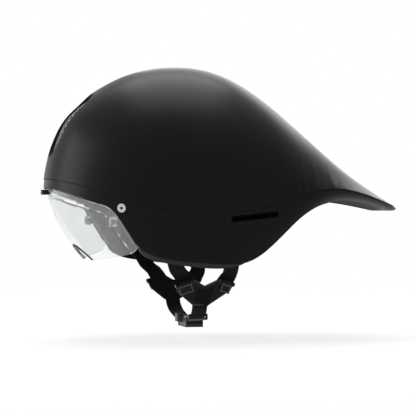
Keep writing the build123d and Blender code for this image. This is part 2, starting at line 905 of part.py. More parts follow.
for name, face, depth in (
    ("visor_magnets", tab_back, magnet_wall),
    ("seat_magnets", tab_back.offset(-seat_gap), -magnet_wall),
):
    with BuildPart() as tab_magnets:
        with BuildSketch(face):
            with Locations((magnet_side, -tab_drop), (-magnet_side, -tab_drop)):
                Circle(magnet_radius)
        extrude(amount=depth)
    finish(tab_magnets.part, name)

# Comfort pads: brow, three crown strips and the two cheek pads
pad_outer_form = cavity_form(-pad_gap)
pad_inner_form = cavity_form(-pad_gap - pad_wall)
brow_zone = slab(
    (-half_width, -front_reach, brow_pad_lift - brow_pad_height / 2),
    (half_width, -brow_pad_back, brow_pad_lift + brow_pad_height / 2),
)
with BuildPart() as pad_layer:
    add(pad_outer_form)
    add(pad_inner_form, mode=Mode.SUBTRACT)

with BuildPart() as brow_pad:
    add(pad_layer.part)
    add(brow_zone, mode=Mode.INTERSECT)
finish(brow_pad.part, "brow_pad")

for name, middle in (("centre", 0), ("left", channel_spacing), ("right", -channel_spacing)):
    with BuildPart() as crown_pad:
        add(pad_layer.part)
        with BuildSketch(Plane.XY.offset(crown_pad_foot)):
            with Locations((middle, head_back_shift)):
                SlotOverall(2 * crown_pad_half_length, crown_pad_width, rotation=90)
        extrude(amount=dome_height, mode=Mode.INTERSECT)
    finish(crown_pad.part, f"crown_pad_{name}")

for side, word in ((1, "left"), (-1, "right")):
    with BuildPart() as cheek_pad:
        add(pad_layer.part)
        with BuildSketch(Plane.YZ):
            with Locations((-(cheek_pad_front + cheek_pad_back) / 2, -(cheek_pad_top + cheek_pad_bottom) / 2)):
                RectangleRounded(
                    cheek_pad_front - cheek_pad_back, cheek_pad_bottom - cheek_pad_top, cheek_pad_corner
                )
        extrude(amount=side * half_width, mode=Mode.INTERSECT)
    finish(cheek_pad.part, f"cheek_pad_{word}")


def ring_sector(inner, outer, start, end, low, high):
    """A block of the band arc: two radii, two angles from the tail side, two heights."""
    with BuildPart() as sector:
        with BuildSketch(Plane.XY.offset(low)):
            with BuildLine():
                outer_arc = CenterArc((0, arc_back_shift), outer, right_angle - end, end - start)
                inner_arc = CenterArc((0, arc_back_shift), inner, right_angle - end, end - start)
                Line(outer_arc @ 0, inner_arc @ 0)
                Line(outer_arc @ 1, inner_arc @ 1)
            make_face()
        extrude(amount=high - low)
    return sector.part


# Retention bands: each ends in a rack that passes the pinion, the left above and the right below
band_inner = arc_radius - band_wall / 2
band_outer = arc_radius + band_wall / 2
pitch_radius = gear_module * gear_teeth / 2
pitch_angle = degrees(gear_module * pi / arc_radius)
strip_low = pitch_radius + rack_dedendum
strip_high = strip_low + rack_strip
tooth_tip = pitch_radius - rack_addendum


def arc_offset(angle):
    """How far a band angle lies along the plane at the band's middle."""
    return arc_radius * sin(radians(angle - band_middle))


band_arm = ring_sector(
    band_inner, band_outer, band_full_start, band_end, -dial_drop - strip_high, -dial_drop + strip_high
)
rack_strip_form = ring_sector(
    band_inner,
    band_outer,
    -rack_end,
    band_full_start + pitch_angle / 2,
    -dial_drop + strip_low,
    -dial_drop + strip_high,
)
with BuildPart() as band_left:
    add(band_arm)
    with BuildSketch(band_plane(band_middle, arc_radius / 2)):
        with BuildLine():
            Polyline(
                (-arc_offset(band_full_start), strip_high),
                (-arc_offset(band_taper_start), strip_high),
                (-arc_offset(band_taper_end), band_tip_half_height),
                (-arc_offset(band_end), band_tip_half_height),
                (-arc_offset(band_end), -band_tip_half_height),
                (-arc_offset(band_taper_end), -band_tip_half_height),
                (-arc_offset(band_taper_start), -strip_high),
                (-arc_offset(band_full_start), -strip_high),
                close=True,
            )
        make_face()
    extrude(amount=arc_radius, mode=Mode.INTERSECT)
    add(rack_strip_form)
    for index in range(rack_teeth):
        tooth_angle = (index + 1 / 2 - rack_teeth / 2) * pitch_angle
        with BuildSketch(band_plane(tooth_angle, band_inner)):
            with BuildLine():
                Polyline(
                    (-rack_root_width / 2, strip_low),
                    (-rack_tip_width / 2, tooth_tip),
                    (rack_tip_width / 2, tooth_tip),
                    (rack_root_width / 2, strip_low),
                    close=True,
                )
            make_face()
        extrude(amount=band_wall)
finish(band_left.part, "band_left")

# The right band is the left one turned half a turn about the dial's own axis
with BuildPart() as band_right:
    add(band_left.part.rotate(Axis((0, 0, -dial_drop), (0, 1, 0)), 2 * right_angle))
finish(band_right.part, "band_right")

# Dial housing: a base against the cradle and a cover that holds the bands and the rail hooks
with BuildPart() as housing_block:
    with BuildSketch(Plane.XZ.offset(-housing_back)):
        with Locations((0, -dial_drop)):
            RectangleRounded(2 * housing_half_width, 2 * housing_half_height, housing_corner)
    extrude(amount=arc_radius / 2)

base_outer = band_inner - band_gap
base_inner = base_outer - base_wall
housing_low = -dial_drop - housing_half_height
housing_high = -dial_drop + housing_half_height
base_ring = ring_sector(base_inner, base_outer, -band_middle, band_middle, housing_low, housing_high)
with BuildPart() as housing_base:
    add(housing_block.part)
    add(base_ring, mode=Mode.INTERSECT)
    with BuildSketch(Plane.XZ.offset(-housing_back)):
        with Locations((0, -dial_drop)):
            Circle(journal_radius + shaft_clearance)
    extrude(amount=arc_radius / 2, mode=Mode.SUBTRACT)
finish(housing_base.part, "housing_base")

hook_low = -tongue_top - hook_height
hook_inner = rail_half_width + rail_clearance
hook_back = housing_back + rail_wall + 2 * rail_clearance + hook_lip
tongue = slab(
    (-tongue_half_width, housing_back - tongue_wall, -dial_drop),
    (tongue_half_width, housing_back, -tongue_top),
)
base_room = ring_sector(
    least_size,
    base_outer + cradle_gap,
    -right_angle,
    right_angle,
    housing_low - cut_overrun,
    housing_high + cut_overrun,
)
band_channel = ring_sector(
    base_outer,
    band_outer + band_gap,
    -band_middle,
    band_middle,
    -dial_drop - strip_high - band_gap,
    -dial_drop + strip_high + band_gap,
)
hooks = []
for side in (1, -1):
    near = side * hook_inner
    far = side * (hook_inner + hook_wall)
    lip = side * (hook_inner - hook_reach)
    hooks.append(slab((min(near, far), housing_back, hook_low), (max(near, far), hook_back, -tongue_top)))
    hooks.append(slab((min(lip, far), hook_back - hook_lip, hook_low), (max(lip, far), hook_back, -tongue_top)))

with BuildPart() as housing_cover:
    add(housing_block.part)
    add(tongue)
    add(base_room, mode=Mode.SUBTRACT)
    add(band_channel, mode=Mode.SUBTRACT)
    with BuildSketch(Plane.XZ.offset(-housing_back)):
        with Locations((0, -dial_drop)):
            Circle(shaft_radius + shaft_clearance)
    extrude(amount=arc_radius / 2, mode=Mode.SUBTRACT)
    add(hooks)
finish(housing_cover.part, "housing_cover")

# Height rail on the liner, which the cover's hooks ride on
rail_face = housing_back + rail_clearance
flange_low = -rail_top - rail_flange_wall
rail_bar = slab((-rail_half_width, rail_face, -rail_foot), (rail_half_width, rail_face + rail_wall, -rail_top))
rail_flange = slab(
    (-rail_flange_half_width, rail_flange_front, flange_low),
    (rail_flange_half_width, rail_flange_back, -rail_top),
)
with BuildPart() as height_rail:
    add(rail_bar)
    add(rail_flange)
    with BuildSketch(Plane.XZ.offset(-rail_face)):
        with Locations((0, -(rail_foot + rail_top + rail_flange_wall) / 2)):
            with GridLocations(2 * rail_half_width, rail_notch_pitch, 2, rail_notch_count):
                Circle(rail_notch_radius)
    extrude(amount=-rail_wall, mode=Mode.SUBTRACT)
finish(height_rail.part, "height_rail")

# Guides on the liner, through which the band ends slide
for side, word in ((1, "left"), (-1, "right")):
    guide_face = band_inner - band_gap - guide_bridge
    with BuildPart() as band_guide:
        with BuildSketch(band_plane(side * guide_angle, guide_face)):
            Rectangle(guide_width, 2 * guide_half_height)
        extrude(amount=arc_radius + guide_depth - guide_face)
        with BuildSketch(band_plane(side * guide_angle, guide_face + guide_bridge)):
            Rectangle(2 * guide_width, 2 * guide_window)
        extrude(amount=band_wall + band_gap + guide_play, mode=Mode.SUBTRACT)
    finish(band_guide.part, f"band_guide_{word}")

# Pinion on its shaft, the fluted knob and the screw that holds it
pinion_front = arc_back_shift + band_inner
with BuildPart() as pinion_gear:
    with BuildSketch(Plane.XZ.offset(-pinion_front)):
        with Locations((0, -dial_drop)):
            Circle(pinion_root_radius)
            with PolarLocations(0, gear_teeth, start_angle=right_angle):
                Polygon(
                    (0, -pinion_root_width / 2),
                    (pinion_root_radius, -pinion_root_width / 2),
                    (pinion_tip_radius, -pinion_tip_width / 2),
                    (pinion_tip_radius, pinion_tip_width / 2),
                    (pinion_root_radius, pinion_root_width / 2),
                    (0, pinion_root_width / 2),
                    align=None,
                )
    extrude(amount=-band_wall)
    with BuildSketch(Plane.XZ.offset(-pinion_front - band_wall)):
        with Locations((0, -dial_drop)):
            Circle(shaft_radius)
    extrude(amount=pinion_front + band_wall - knob_front)
    with BuildSketch(Plane.XZ.offset(-pinion_front)):
        with Locations((0, -dial_drop)):
            Circle(journal_radius)
    extrude(amount=base_wall + band_gap)
finish(pinion_gear.part, "pinion_gear")

with BuildPart() as dial_knob:
    with BuildSketch(Plane.XZ.offset(-knob_front)):
        with Locations((0, -dial_drop)):
            Circle(knob_radius)
            with PolarLocations(knob_radius + flute_radius / 2, flute_count):
                Circle(flute_radius, mode=Mode.SUBTRACT)
    extrude(amount=-knob_depth)
    with BuildSketch(Plane.XZ.offset(-knob_front - knob_depth)):
        with Locations((0, -dial_drop)):
            Circle(knob_radius - knob_rim)
            Circle(screw_head_radius + knob_rim, mode=Mode.SUBTRACT)
    extrude(amount=knob_dish, mode=Mode.SUBTRACT)
    with BuildSketch(Plane.XZ.offset(-knob_front - knob_depth)):
        with Locations((0, -dial_drop)):
            Circle(screw_radius + shaft_clearance)
    extrude(amount=knob_depth, mode=Mode.SUBTRACT)
finish(dial_knob.part, "dial_knob")

with BuildPart() as dial_screw:
    with BuildSketch(Plane.XZ.offset(-knob_front - knob_depth)):
        with Locations((0, -dial_drop)):
            Circle(screw_head_radius)
    extrude(amount=-screw_head_wall)
    with BuildSketch(Plane.XZ.offset(-knob_front - knob_depth)):
        with Locations((0, -dial_drop)):
            Circle(screw_radius)
    extrude(amount=knob_depth)
finish(dial_screw.part, "dial_screw")

# Nape cradle and its two pads
cradle_outer = base_inner - cradle_gap
cradle_ring = ring_sector(
    cradle_outer - cradle_wall, cradle_outer, -band_middle, band_middle, -skirt_depth, 0
)
with BuildPart() as nape_cradle:
    add(cradle_ring)
    with BuildSketch(Plane.XZ):
        with Locations((0, -cradle_lobe_drop)):
            SlotOverall(2 * cradle_outer * sin(radians(cradle_half_angle)), cradle_lobe_height)
        with Locations((0, -(cradle_top + cradle_lobe_drop) / 2)):
            RectangleRounded(2 * cradle_neck_half_width, cradle_lobe_drop - cradle_top, housing_corner)
    extrude(amount=-2 * arc_radius, mode=Mode.INTERSECT)
finish(nape_cradle.part, "nape_cradle")

pad_outer = cradle_outer - cradle_wall - pad_gap
nape_pad_ring = ring_sector(
    pad_outer - nape_pad_wall, pad_outer, -band_middle, band_middle, -skirt_depth, 0
)
with BuildPart() as nape_pads:
    add(nape_pad_ring)
    with BuildSketch(Plane.XZ):
        with Locations((0, -cradle_lobe_drop)):
            with GridLocations(2 * nape_pad_spread, 0, 2, 1):
                SlotOverall(nape_pad_length, nape_pad_height)
    extrude(amount=-2 * arc_radius, mode=Mode.INTERSECT)
finish(nape_pads.part, "nape_pads")


def ribbon(places, across, width, wall):
    """Webbing through a run of places, its flat side turned with the run and its edge along across."""
    with BuildPart() as webbing:
        for index, place in enumerate(places):
            before = Vector(*places[max(index - 1, 0)])
            after = Vector(*places[min(index + 1, len(places) - 1)])
            along = (after - before).normalized()
            with BuildSketch(Plane(origin=place, x_dir=along.cross(across.cross(along)), z_dir=along)):
                Rectangle(width, wall)
        loft(ruled=True)
    return webbing.part


# Divider plane: y runs up the divider and z points away from the cheek
divider_turn = radians(divider_tilt)
divider_plane = Plane(
    origin=divider_place,
    x_dir=(0, 1, 0),
    z_dir=(cos(divider_turn), 0, -sin(divider_turn)),
)


def behind_divider(place, drop):
    """A place of the webbing that passes behind the divider plate."""
    back = divider_wall / 2 + buckle_gap + strap_wall / 2
    x = divider_place[0] - (drop + divider_place[2]) * tan(divider_turn) - back / cos(divider_turn)
    return (x, place, -drop)


# Webbing from the liner anchors down to the dividers, two straps a side
for word, foot_place, gate_place, upper_places in (
    ("front", front_foot_place, front_gate_place, front_strap_places),
    ("rear", rear_foot_place, rear_gate_place, rear_strap_places),
):
    strap_places = [
        behind_divider(foot_place, strap_foot),
        behind_divider(gate_place, strap_gate_drop),
        behind_divider(gate_place + (gate_place - foot_place) / 2, strap_edge_drop),
        *upper_places,
    ]
    strap_form = ribbon(strap_places, Vector(0, 1, 0), strap_width, strap_wall)
    with BuildPart() as strap_left:
        add(strap_form)
    finish(strap_left.part, f"strap_{word}_left")
    with BuildPart() as strap_right:
        add(strap_form.mirror(Plane.YZ))
    finish(strap_right.part, f"strap_{word}_right")

# Anchors that hold the strap ends to the pocket walls of the liner
with BuildPart() as strap_anchors:
    for upper_places in (front_strap_places, rear_strap_places):
        with BuildSketch(Plane.YZ.offset(pocket_depth - seat_gap)):
            with Locations((upper_places[-1][1], upper_places[-1][2])):
                Circle(anchor_radius)
        extrude(amount=-anchor_wall)
    mirror(about=Plane.YZ)
finish(strap_anchors.part, "strap_anchors")

# Y dividers with ears for the two cam gates, and the gates on their pins
divider_points = [(u * divider_width, v * divider_height) for u, v in divider_shares]


def wing_plane(start, end):
    """The plane of a divider wing: x along its top edge, z away from the cheek."""
    low = divider_plane.from_local_coords(Vector(*divider_points[start]))
    high = divider_plane.from_local_coords(Vector(*divider_points[end]))
    return Plane(origin=(low + high) / 2, x_dir=high - low, z_dir=divider_plane.z_dir)


def wing_length(start, end):
    """The length of a wing's top edge."""
    (u0, v0), (u1, v1) = divider_points[start], divider_points[end]
    return hypot(u1 - u0, v1 - v0)


def across_wing(plane, place):
    """A plane square to the wing's top edge, with y away from the cheek."""
    return Plane(origin=plane.from_local_coords(Vector(place, 0, 0)), x_dir=plane.y_dir, z_dir=plane.x_dir)


wings = (("front", 0, 1), ("rear", 3, 4))
with BuildPart() as divider_left:
    with BuildSketch(divider_plane.offset(-divider_wall / 2)):
        with BuildLine():
            Polyline(*divider_points, close=True)
        make_face()
    extrude(amount=divider_wall)
    fillet(divider_left.edges().filter_by(Axis(divider_place, divider_plane.z_dir)), radius=divider_corner)
    for word, start, end in wings:
        wing = wing_plane(start, end)
        half = wing_length(start, end) / 2
        for place in (-half, half - ear_wall):
            with BuildSketch(across_wing(wing, place)):
                with Locations((-gate_axis_drop, gate_axis_offset)):
                    Circle(ear_radius)
                with Locations((-gate_axis_drop, gate_axis_offset / 2)):
                    Rectangle(2 * ear_radius, gate_axis_offset)
                with Locations((-gate_axis_drop, gate_axis_offset)):
                    Circle(gate_pin_radius + gate_pin_clearance, mode=Mode.SUBTRACT)
            extrude(amount=ear_wall)
finish(divider_left.part, "divider_left")

with BuildPart() as divider_right:
    add(divider_left.part.mirror(Plane.YZ))
finish(divider_right.part, "divider_right")

for word, start, end in wings:
    wing = wing_plane(start, end)
    barrel_half = wing_length(start, end) / 2 - ear_wall - gate_margin
    with BuildPart() as gate_left:
        with BuildSketch(across_wing(wing, -barrel_half)):
            with Locations((-gate_axis_drop, gate_axis_offset)):
                Circle(gate_radius)
            with Locations((-gate_axis_drop - gate_height / 2, gate_axis_offset - gate_radius + gate_wall / 2)):
                Rectangle(gate_height, gate_wall)
            with Locations((-gate_axis_drop, gate_axis_offset)):
                Circle(gate_pin_radius + gate_pin_clearance, mode=Mode.SUBTRACT)
        extrude(amount=2 * barrel_half)
        with BuildSketch(wing.offset(gate_axis_offset - gate_radius + gate_wall)):
            with Locations((0, -gate_axis_drop - (gate_height + gate_radius) / 2)):
                Rectangle(2 * (barrel_half - gate_rim), gate_height - gate_radius - 2 * gate_rim)
        extrude(amount=-gate_recess, mode=Mode.SUBTRACT)
    finish(gate_left.part, f"gate_{word}_left")
    with BuildPart() as gate_right:
        add(gate_left.part.mirror(Plane.YZ))
    finish(gate_right.part, f"gate_{word}_right")

with BuildPart() as gate_pins:
    for word, start, end in wings:
        wing = wing_plane(start, end)
        half = wing_length(start, end) / 2
        with BuildSketch(across_wing(wing, -half)):
            with Locations((-gate_axis_drop, gate_axis_offset)):
                Circle(gate_pin_radius)
        extrude(amount=2 * half)
    mirror(about=Plane.YZ)
finish(gate_pins.part, "gate_pins")

# Chin straps from the divider stems to the buckle, with a keeper on the left one
buckle_side, buckle_front, buckle_level = buckle_place
strap_end = buckle_half_length - chin_end_margin
chin_top = behind_divider(chin_place, chin_start_drop)
chin_low = behind_divider(chin_place, chin_bend_drop)
chin_run = (chin_low[0] - buckle_half_length, buckle_front - chin_place, buckle_level - chin_low[2])
chin_places = [
    chin_top,
    chin_low,
    *[
        (chin_low[0] - run * chin_run[0], chin_place + run * chin_run[1], chin_low[2] + fall * chin_run[2])
        for run, fall in chin_curve_shares
    ],
    (buckle_half_length + buckle_end_step, buckle_front, buckle_level),
    (strap_end, buckle_front, buckle_level),
]
chin_form = ribbon(chin_places, Vector(0, 1, 0), strap_width, strap_wall)
with BuildPart() as chin_strap_left:
    add(chin_form)
finish(chin_strap_left.part, "chin_strap_left")

with BuildPart() as chin_strap_right:
    add(chin_form.mirror(Plane.YZ))
finish(chin_strap_right.part, "chin_strap_right")

keeper_low = Vector(*chin_places[4])
keeper_high = Vector(*chin_places[3])
keeper_along = (keeper_high - keeper_low).normalized()
keeper_middle = keeper_low + (keeper_high - keeper_low) * keeper_share
keeper_plane = Plane(
    origin=keeper_middle - keeper_along * keeper_length / 2,
    x_dir=keeper_along.cross(Vector(0, 1, 0).cross(keeper_along)),
    z_dir=keeper_along,
)
with BuildPart() as strap_keeper:
    with BuildSketch(keeper_plane):
        Rectangle(strap_width + 2 * (seat_gap + keeper_wall), strap_wall + 2 * (seat_gap + keeper_wall))
        Rectangle(strap_width + 2 * seat_gap, strap_wall + 2 * seat_gap, mode=Mode.SUBTRACT)
    extrude(amount=keeper_length)
finish(strap_keeper.part, "strap_keeper")

# Magnetic chin buckle: the base with its T rail on the left, the slider with its groove on the right
buckle_plane = Plane(origin=buckle_place, x_dir=(1, 0, 0), z_dir=(0, 0, 1))
lap_place = (buckle_half_length - buckle_lap) / 2


def strap_pocket(side):
    """The pocket that a chin strap's end is moulded into."""
    pocket_end = buckle_half_length - chin_end_margin - buckle_gap
    with BuildPart() as pocket:
        with Locations((side * (pocket_end + buckle_half_length) / 2, buckle_front, buckle_level)):
            Box(
                buckle_half_length - pocket_end,
                strap_width + 2 * buckle_gap,
                strap_wall + 2 * buckle_gap,
            )
    return pocket.part


base_pocket = strap_pocket(1)
slider_pocket = strap_pocket(-1)
with BuildPart() as buckle_base:
    with BuildSketch(buckle_plane.offset(-buckle_half_wall)):
        with Locations((lap_place, 0)):
            RectangleRounded(buckle_half_length + buckle_lap - buckle_gap, buckle_width, buckle_corner)
    extrude(amount=2 * buckle_half_wall)
    with Locations((
        buckle_side - buckle_gap / 2,
        buckle_front,
        buckle_level - buckle_gap / 2 + buckle_half_wall,
    )):
        Box(2 * buckle_lap + buckle_gap, buckle_width + cut_overrun, 2 * buckle_half_wall, mode=Mode.SUBTRACT)
    with BuildSketch(buckle_plane.offset(-buckle_gap / 2)):
        Rectangle(2 * rail_stem_half_width, buckle_width - 2 * rail_end_margin)
    extrude(amount=rail_stem_height)
    with BuildSketch(buckle_plane.offset(rail_stem_height - buckle_gap / 2)):
        Rectangle(2 * rail_head_half_width, buckle_width - 2 * rail_end_margin)
    extrude(amount=rail_head_height)
    with BuildSketch(buckle_plane.offset(-buckle_gap / 2)):
        with GridLocations(2 * buckle_magnet_place, 0, 2, 1):
            Circle(buckle_magnet_radius + fit_gap)
    extrude(amount=-buckle_magnet_wall - fit_gap, mode=Mode.SUBTRACT)
    add(base_pocket, mode=Mode.SUBTRACT)
finish(buckle_base.part, "buckle_base")

groove_stem = rail_stem_half_width + buckle_gap
groove_head = rail_head_half_width + buckle_gap
groove_start = buckle_width / 2 - rail_end_margin + buckle_gap
with BuildPart() as buckle_slider:
    with BuildSketch(buckle_plane.offset(-buckle_half_wall)):
        with Locations((-lap_place, 0)):
            RectangleRounded(buckle_half_length + buckle_lap - buckle_gap, buckle_width, buckle_corner)
    extrude(amount=2 * buckle_half_wall)
    with Locations((
        buckle_side + pull_width / 2 - buckle_lap,
        buckle_front - (buckle_width + pull_length) / 2,
        buckle_level + (buckle_gap + pull_height) / 2,
    )):
        Box(pull_width, pull_length + 2 * buckle_corner, pull_height)
    with Locations((
        buckle_side + buckle_gap / 2,
        buckle_front,
        buckle_level + buckle_gap / 2 - buckle_half_wall,
    )):
        Box(2 * buckle_lap + buckle_gap, buckle_width + cut_overrun, 2 * buckle_half_wall, mode=Mode.SUBTRACT)
    with Locations((buckle_side, buckle_front + cut_overrun / 2, buckle_level + rail_stem_height / 2)):
        Box(2 * groove_stem, 2 * groove_start + cut_overrun, rail_stem_height + buckle_gap, mode=Mode.SUBTRACT)
    with Locations((
        buckle_side,
        buckle_front + cut_overrun / 2,
        buckle_level + rail_stem_height + rail_head_height / 2 - buckle_gap / 2,
    )):
        Box(2 * groove_head, 2 * groove_start + cut_overrun, rail_head_height + 2 * buckle_gap,
            mode=Mode.SUBTRACT)
    with BuildSketch(buckle_plane.offset(buckle_gap / 2)):
        with GridLocations(2 * buckle_magnet_place, 0, 2, 1):
            Circle(buckle_magnet_radius + fit_gap)
    extrude(amount=buckle_magnet_wall + fit_gap, mode=Mode.SUBTRACT)
    add(slider_pocket, mode=Mode.SUBTRACT)
finish(buckle_slider.part, "buckle_slider")

for name, start, depth in (
    ("base_magnets", -buckle_gap / 2, -buckle_magnet_wall),
    ("slider_magnets", buckle_gap / 2, buckle_magnet_wall),
):
    with BuildPart() as buckle_magnets:
        with BuildSketch(buckle_plane.offset(start)):
            with GridLocations(2 * buckle_magnet_place, 0, 2, 1):
                Circle(buckle_magnet_radius)
        extrude(amount=depth)
    finish(buckle_magnets.part, name)
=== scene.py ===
"""Aero time trial helmet: the looks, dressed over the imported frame."""
import bisect
import math

import bmesh
import bpy
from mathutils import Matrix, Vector


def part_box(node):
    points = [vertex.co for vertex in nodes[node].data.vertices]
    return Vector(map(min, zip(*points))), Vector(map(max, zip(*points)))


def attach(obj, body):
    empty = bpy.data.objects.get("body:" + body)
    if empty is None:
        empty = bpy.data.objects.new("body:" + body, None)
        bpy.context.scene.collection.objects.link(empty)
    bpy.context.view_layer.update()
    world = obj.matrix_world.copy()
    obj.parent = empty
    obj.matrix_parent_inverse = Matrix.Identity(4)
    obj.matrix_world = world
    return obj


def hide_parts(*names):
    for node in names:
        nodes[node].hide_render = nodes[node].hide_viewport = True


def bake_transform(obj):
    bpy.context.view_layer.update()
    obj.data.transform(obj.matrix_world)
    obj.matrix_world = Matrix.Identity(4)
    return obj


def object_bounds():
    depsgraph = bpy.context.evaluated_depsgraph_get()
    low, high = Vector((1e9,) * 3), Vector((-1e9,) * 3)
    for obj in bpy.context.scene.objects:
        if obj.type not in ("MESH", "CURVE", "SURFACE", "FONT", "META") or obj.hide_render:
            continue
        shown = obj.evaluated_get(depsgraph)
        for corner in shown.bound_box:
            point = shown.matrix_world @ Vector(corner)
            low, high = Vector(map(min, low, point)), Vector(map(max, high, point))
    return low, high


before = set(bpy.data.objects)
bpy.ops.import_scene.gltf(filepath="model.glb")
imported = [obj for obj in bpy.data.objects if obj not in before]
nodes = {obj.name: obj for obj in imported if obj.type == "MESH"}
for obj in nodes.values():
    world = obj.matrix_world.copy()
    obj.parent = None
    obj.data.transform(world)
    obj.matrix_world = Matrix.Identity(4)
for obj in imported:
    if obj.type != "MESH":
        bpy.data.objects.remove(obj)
cad_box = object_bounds()

# The camera stands square to the helmet's left side, a little towards the face, at the height
# of the ear covers, far back so that the tail and the nose keep their true proportions.
look_at = Vector((0.0, 0.044, -0.028))
look_turn = math.radians(77.0)
look_distance = 2.0
look_lens = 173.1
look_sensor = 36.0


def put_in_scene(name, data):
    """A new object of this name for a mesh, a lamp or a camera, linked into the scene."""
    thing = bpy.data.objects.new(name, data)
    bpy.context.scene.collection.objects.link(thing)
    return thing


def turned_to(aim, place):
    """The turn of a camera or a lamp that looks from its place at the aim."""
    return (aim - place).to_track_quat("-Z", "Y").to_euler()


camera_data = bpy.data.cameras.new("photo_camera")
camera_data.sensor_width = look_sensor
camera_data.lens = look_lens
camera = put_in_scene("photo_camera", camera_data)
look_from = Vector((math.sin(look_turn), -math.cos(look_turn), 0.0))
camera.location = look_at + look_distance * look_from
camera.rotation_euler = turned_to(look_at, camera.location)
bpy.context.scene.camera = camera

# The studio: a white surround that the camera, mirror-like surfaces and clear plastic see at full
# strength, a broad soft light overhead, one behind the far side that rims the dome, a weak light
# in front of the face, and a pale floor below the chin buckle that keeps a soft shadow.
bpy.context.scene.view_settings.view_transform = "Standard"
surround_white = (1.0, 1.0, 1.0, 1.0)
surround_strength = 1.0
fill_white = (1.0, 0.98, 0.96, 1.0)
fill_strength = 0.3


def feed(socket, source):
    """Sets a socket to a plain number or colour, or links another node's output to it."""
    if isinstance(source, bpy.types.NodeSocket):
        socket.id_data.links.new(source, socket)
    else:
        socket.default_value = source


def feed_all(node, **sources):
    """Feeds a node's sockets, whose names are given with underscores for their spaces."""
    for name, source in sources.items():
        feed(node.inputs[name.replace("_", " ")], source)


def maths(operation, first, *others):
    """A Math node whose first source is a socket, and the others sockets or plain numbers."""
    step = first.id_data.nodes.new("ShaderNodeMath")
    step.operation = operation
    for slot, source in enumerate((first, *others)):
        feed(step.inputs[slot], source)
    return step.outputs[0]


def ranged(value, low, high, at_low=0.0, at_high=1.0):
    """A Map Range node, at_low for values up to low and at_high for those from high."""
    step = value.id_data.nodes.new("ShaderNodeMapRange")
    feed_all(step, Value=value, From_Min=low, From_Max=high, To_Min=at_low, To_Max=at_high)
    return step.outputs["Result"]


def picked_shader(share, first, second):
    """A Mix Shader node: the first shader where the share is zero, the second where it is one."""
    step = share.id_data.nodes.new("ShaderNodeMixShader")
    for slot, source in enumerate((share, first, second)):
        feed(step.inputs[slot], source)
    return step.outputs[0]


def seen_rays(tree):
    """One for the rays that see the backdrop: camera, glossy and transmission rays."""
    rays = tree.nodes.new("ShaderNodeLightPath").outputs
    mirrored_rays = maths("MAXIMUM", rays["Is Glossy Ray"], rays["Is Transmission Ray"])
    return maths("MAXIMUM", rays["Is Camera Ray"], mirrored_rays)


def new_finish(name):
    """A new material with its node tree and its Principled shader."""
    finish = bpy.data.materials.new(name)
    finish.use_nodes = True
    return finish, finish.node_tree, finish.node_tree.nodes["Principled BSDF"]


def surround(tree, colour, strength):
    """A Background shader of the world."""
    shader = tree.nodes.new("ShaderNodeBackground")
    feed_all(shader, Color=colour, Strength=strength)
    return shader.outputs[0]


world = bpy.data.worlds.new("studio")
bpy.context.scene.world = world
world.use_nodes = True
world_tree = world.node_tree
world_tree.nodes.clear()
fill_light = surround(world_tree, fill_white, fill_strength)
backdrop = surround(world_tree, surround_white, surround_strength)
world_shader = picked_shader(seen_rays(world_tree), fill_light, backdrop)
feed_all(world_tree.nodes.new("ShaderNodeOutputWorld"), Surface=world_shader)

lamp_aim = Vector((0.0, 0.04, 0.0))


def soft_light(name, place, size, power):
    """A rectangular softbox that faces the helmet."""
    lamp = bpy.data.lights.new(name, "AREA")
    lamp.shape = "RECTANGLE"
    lamp.size, lamp.size_y = size
    lamp.energy = power
    box = put_in_scene(name, lamp)
    box.location = place
    box.rotation_euler = turned_to(lamp_aim, Vector(place))


soft_light("overhead_softbox", (-0.35, 0.1, 1.5), (1.2, 1.6), 30.0)
soft_light("rim_softbox", (-1.55, 1.0, 0.75), (1.8, 1.0), 11.0)
soft_light("front_softbox", (-0.2, -1.5, 0.4), (1.0, 1.2), 20.0)

floor_drop = 0.012
floor_half = 6.0
floor_near = 0.35
floor_far = 1.3
floor_near_glow = 0.78
floor_white = (0.88, 0.88, 0.87, 1.0)
floor_mesh = bmesh.new()
bmesh.ops.create_grid(floor_mesh, x_segments=1, y_segments=1, size=floor_half)
bmesh.ops.translate(floor_mesh, verts=floor_mesh.verts, vec=(0, 0, cad_box[0][2] - floor_drop))
floor_data = bpy.data.meshes.new("studio_floor")
floor_mesh.to_mesh(floor_data)
floor_mesh.free()
floor = put_in_scene("studio_floor", floor_data)
floor_finish, floor_tree, floor_shader = new_finish("pale_floor")
feed_all(floor_shader, Base_Color=floor_white, Roughness=0.9)
floor_glow = floor_tree.nodes.new("ShaderNodeEmission")
feed_all(floor_glow, Strength=surround_strength)
floor_place = floor_tree.nodes.new("ShaderNodeTexCoord")
floor_reach = floor_tree.nodes.new("ShaderNodeVectorMath")
floor_reach.operation = "LENGTH"
feed(floor_reach.inputs[0], floor_place.outputs["Object"])
floor_fade = ranged(floor_reach.outputs["Value"], floor_near, floor_far, floor_near_glow, 1.0)
floor_glow_share = maths("MULTIPLY", seen_rays(floor_tree), floor_fade)
floor_look = picked_shader(floor_glow_share, floor_shader.outputs[0], floor_glow.outputs[0])
feed_all(floor_tree.nodes["Material Output"], Surface=floor_look)
floor_data.materials.append(floor_finish)

# The two shells are thin moulded polycarbonate with a matt clear coat over black. The upper one
# runs from the brow to the tip of the tail and ends in a fine lip above the seam; the lower one
# carries the ear covers and the edge of the tail, and both are bonded to the foam.
fine_detail = 3.0
patch_scale = 22.0
patch_detail = 5.0
patch_from = 0.35
patch_to = 0.7
patch_roughness = 0.35
rubbed_from = 0.53
rubbed_to = 0.62
dust_share = 0.12
grain_relief = 0.0004


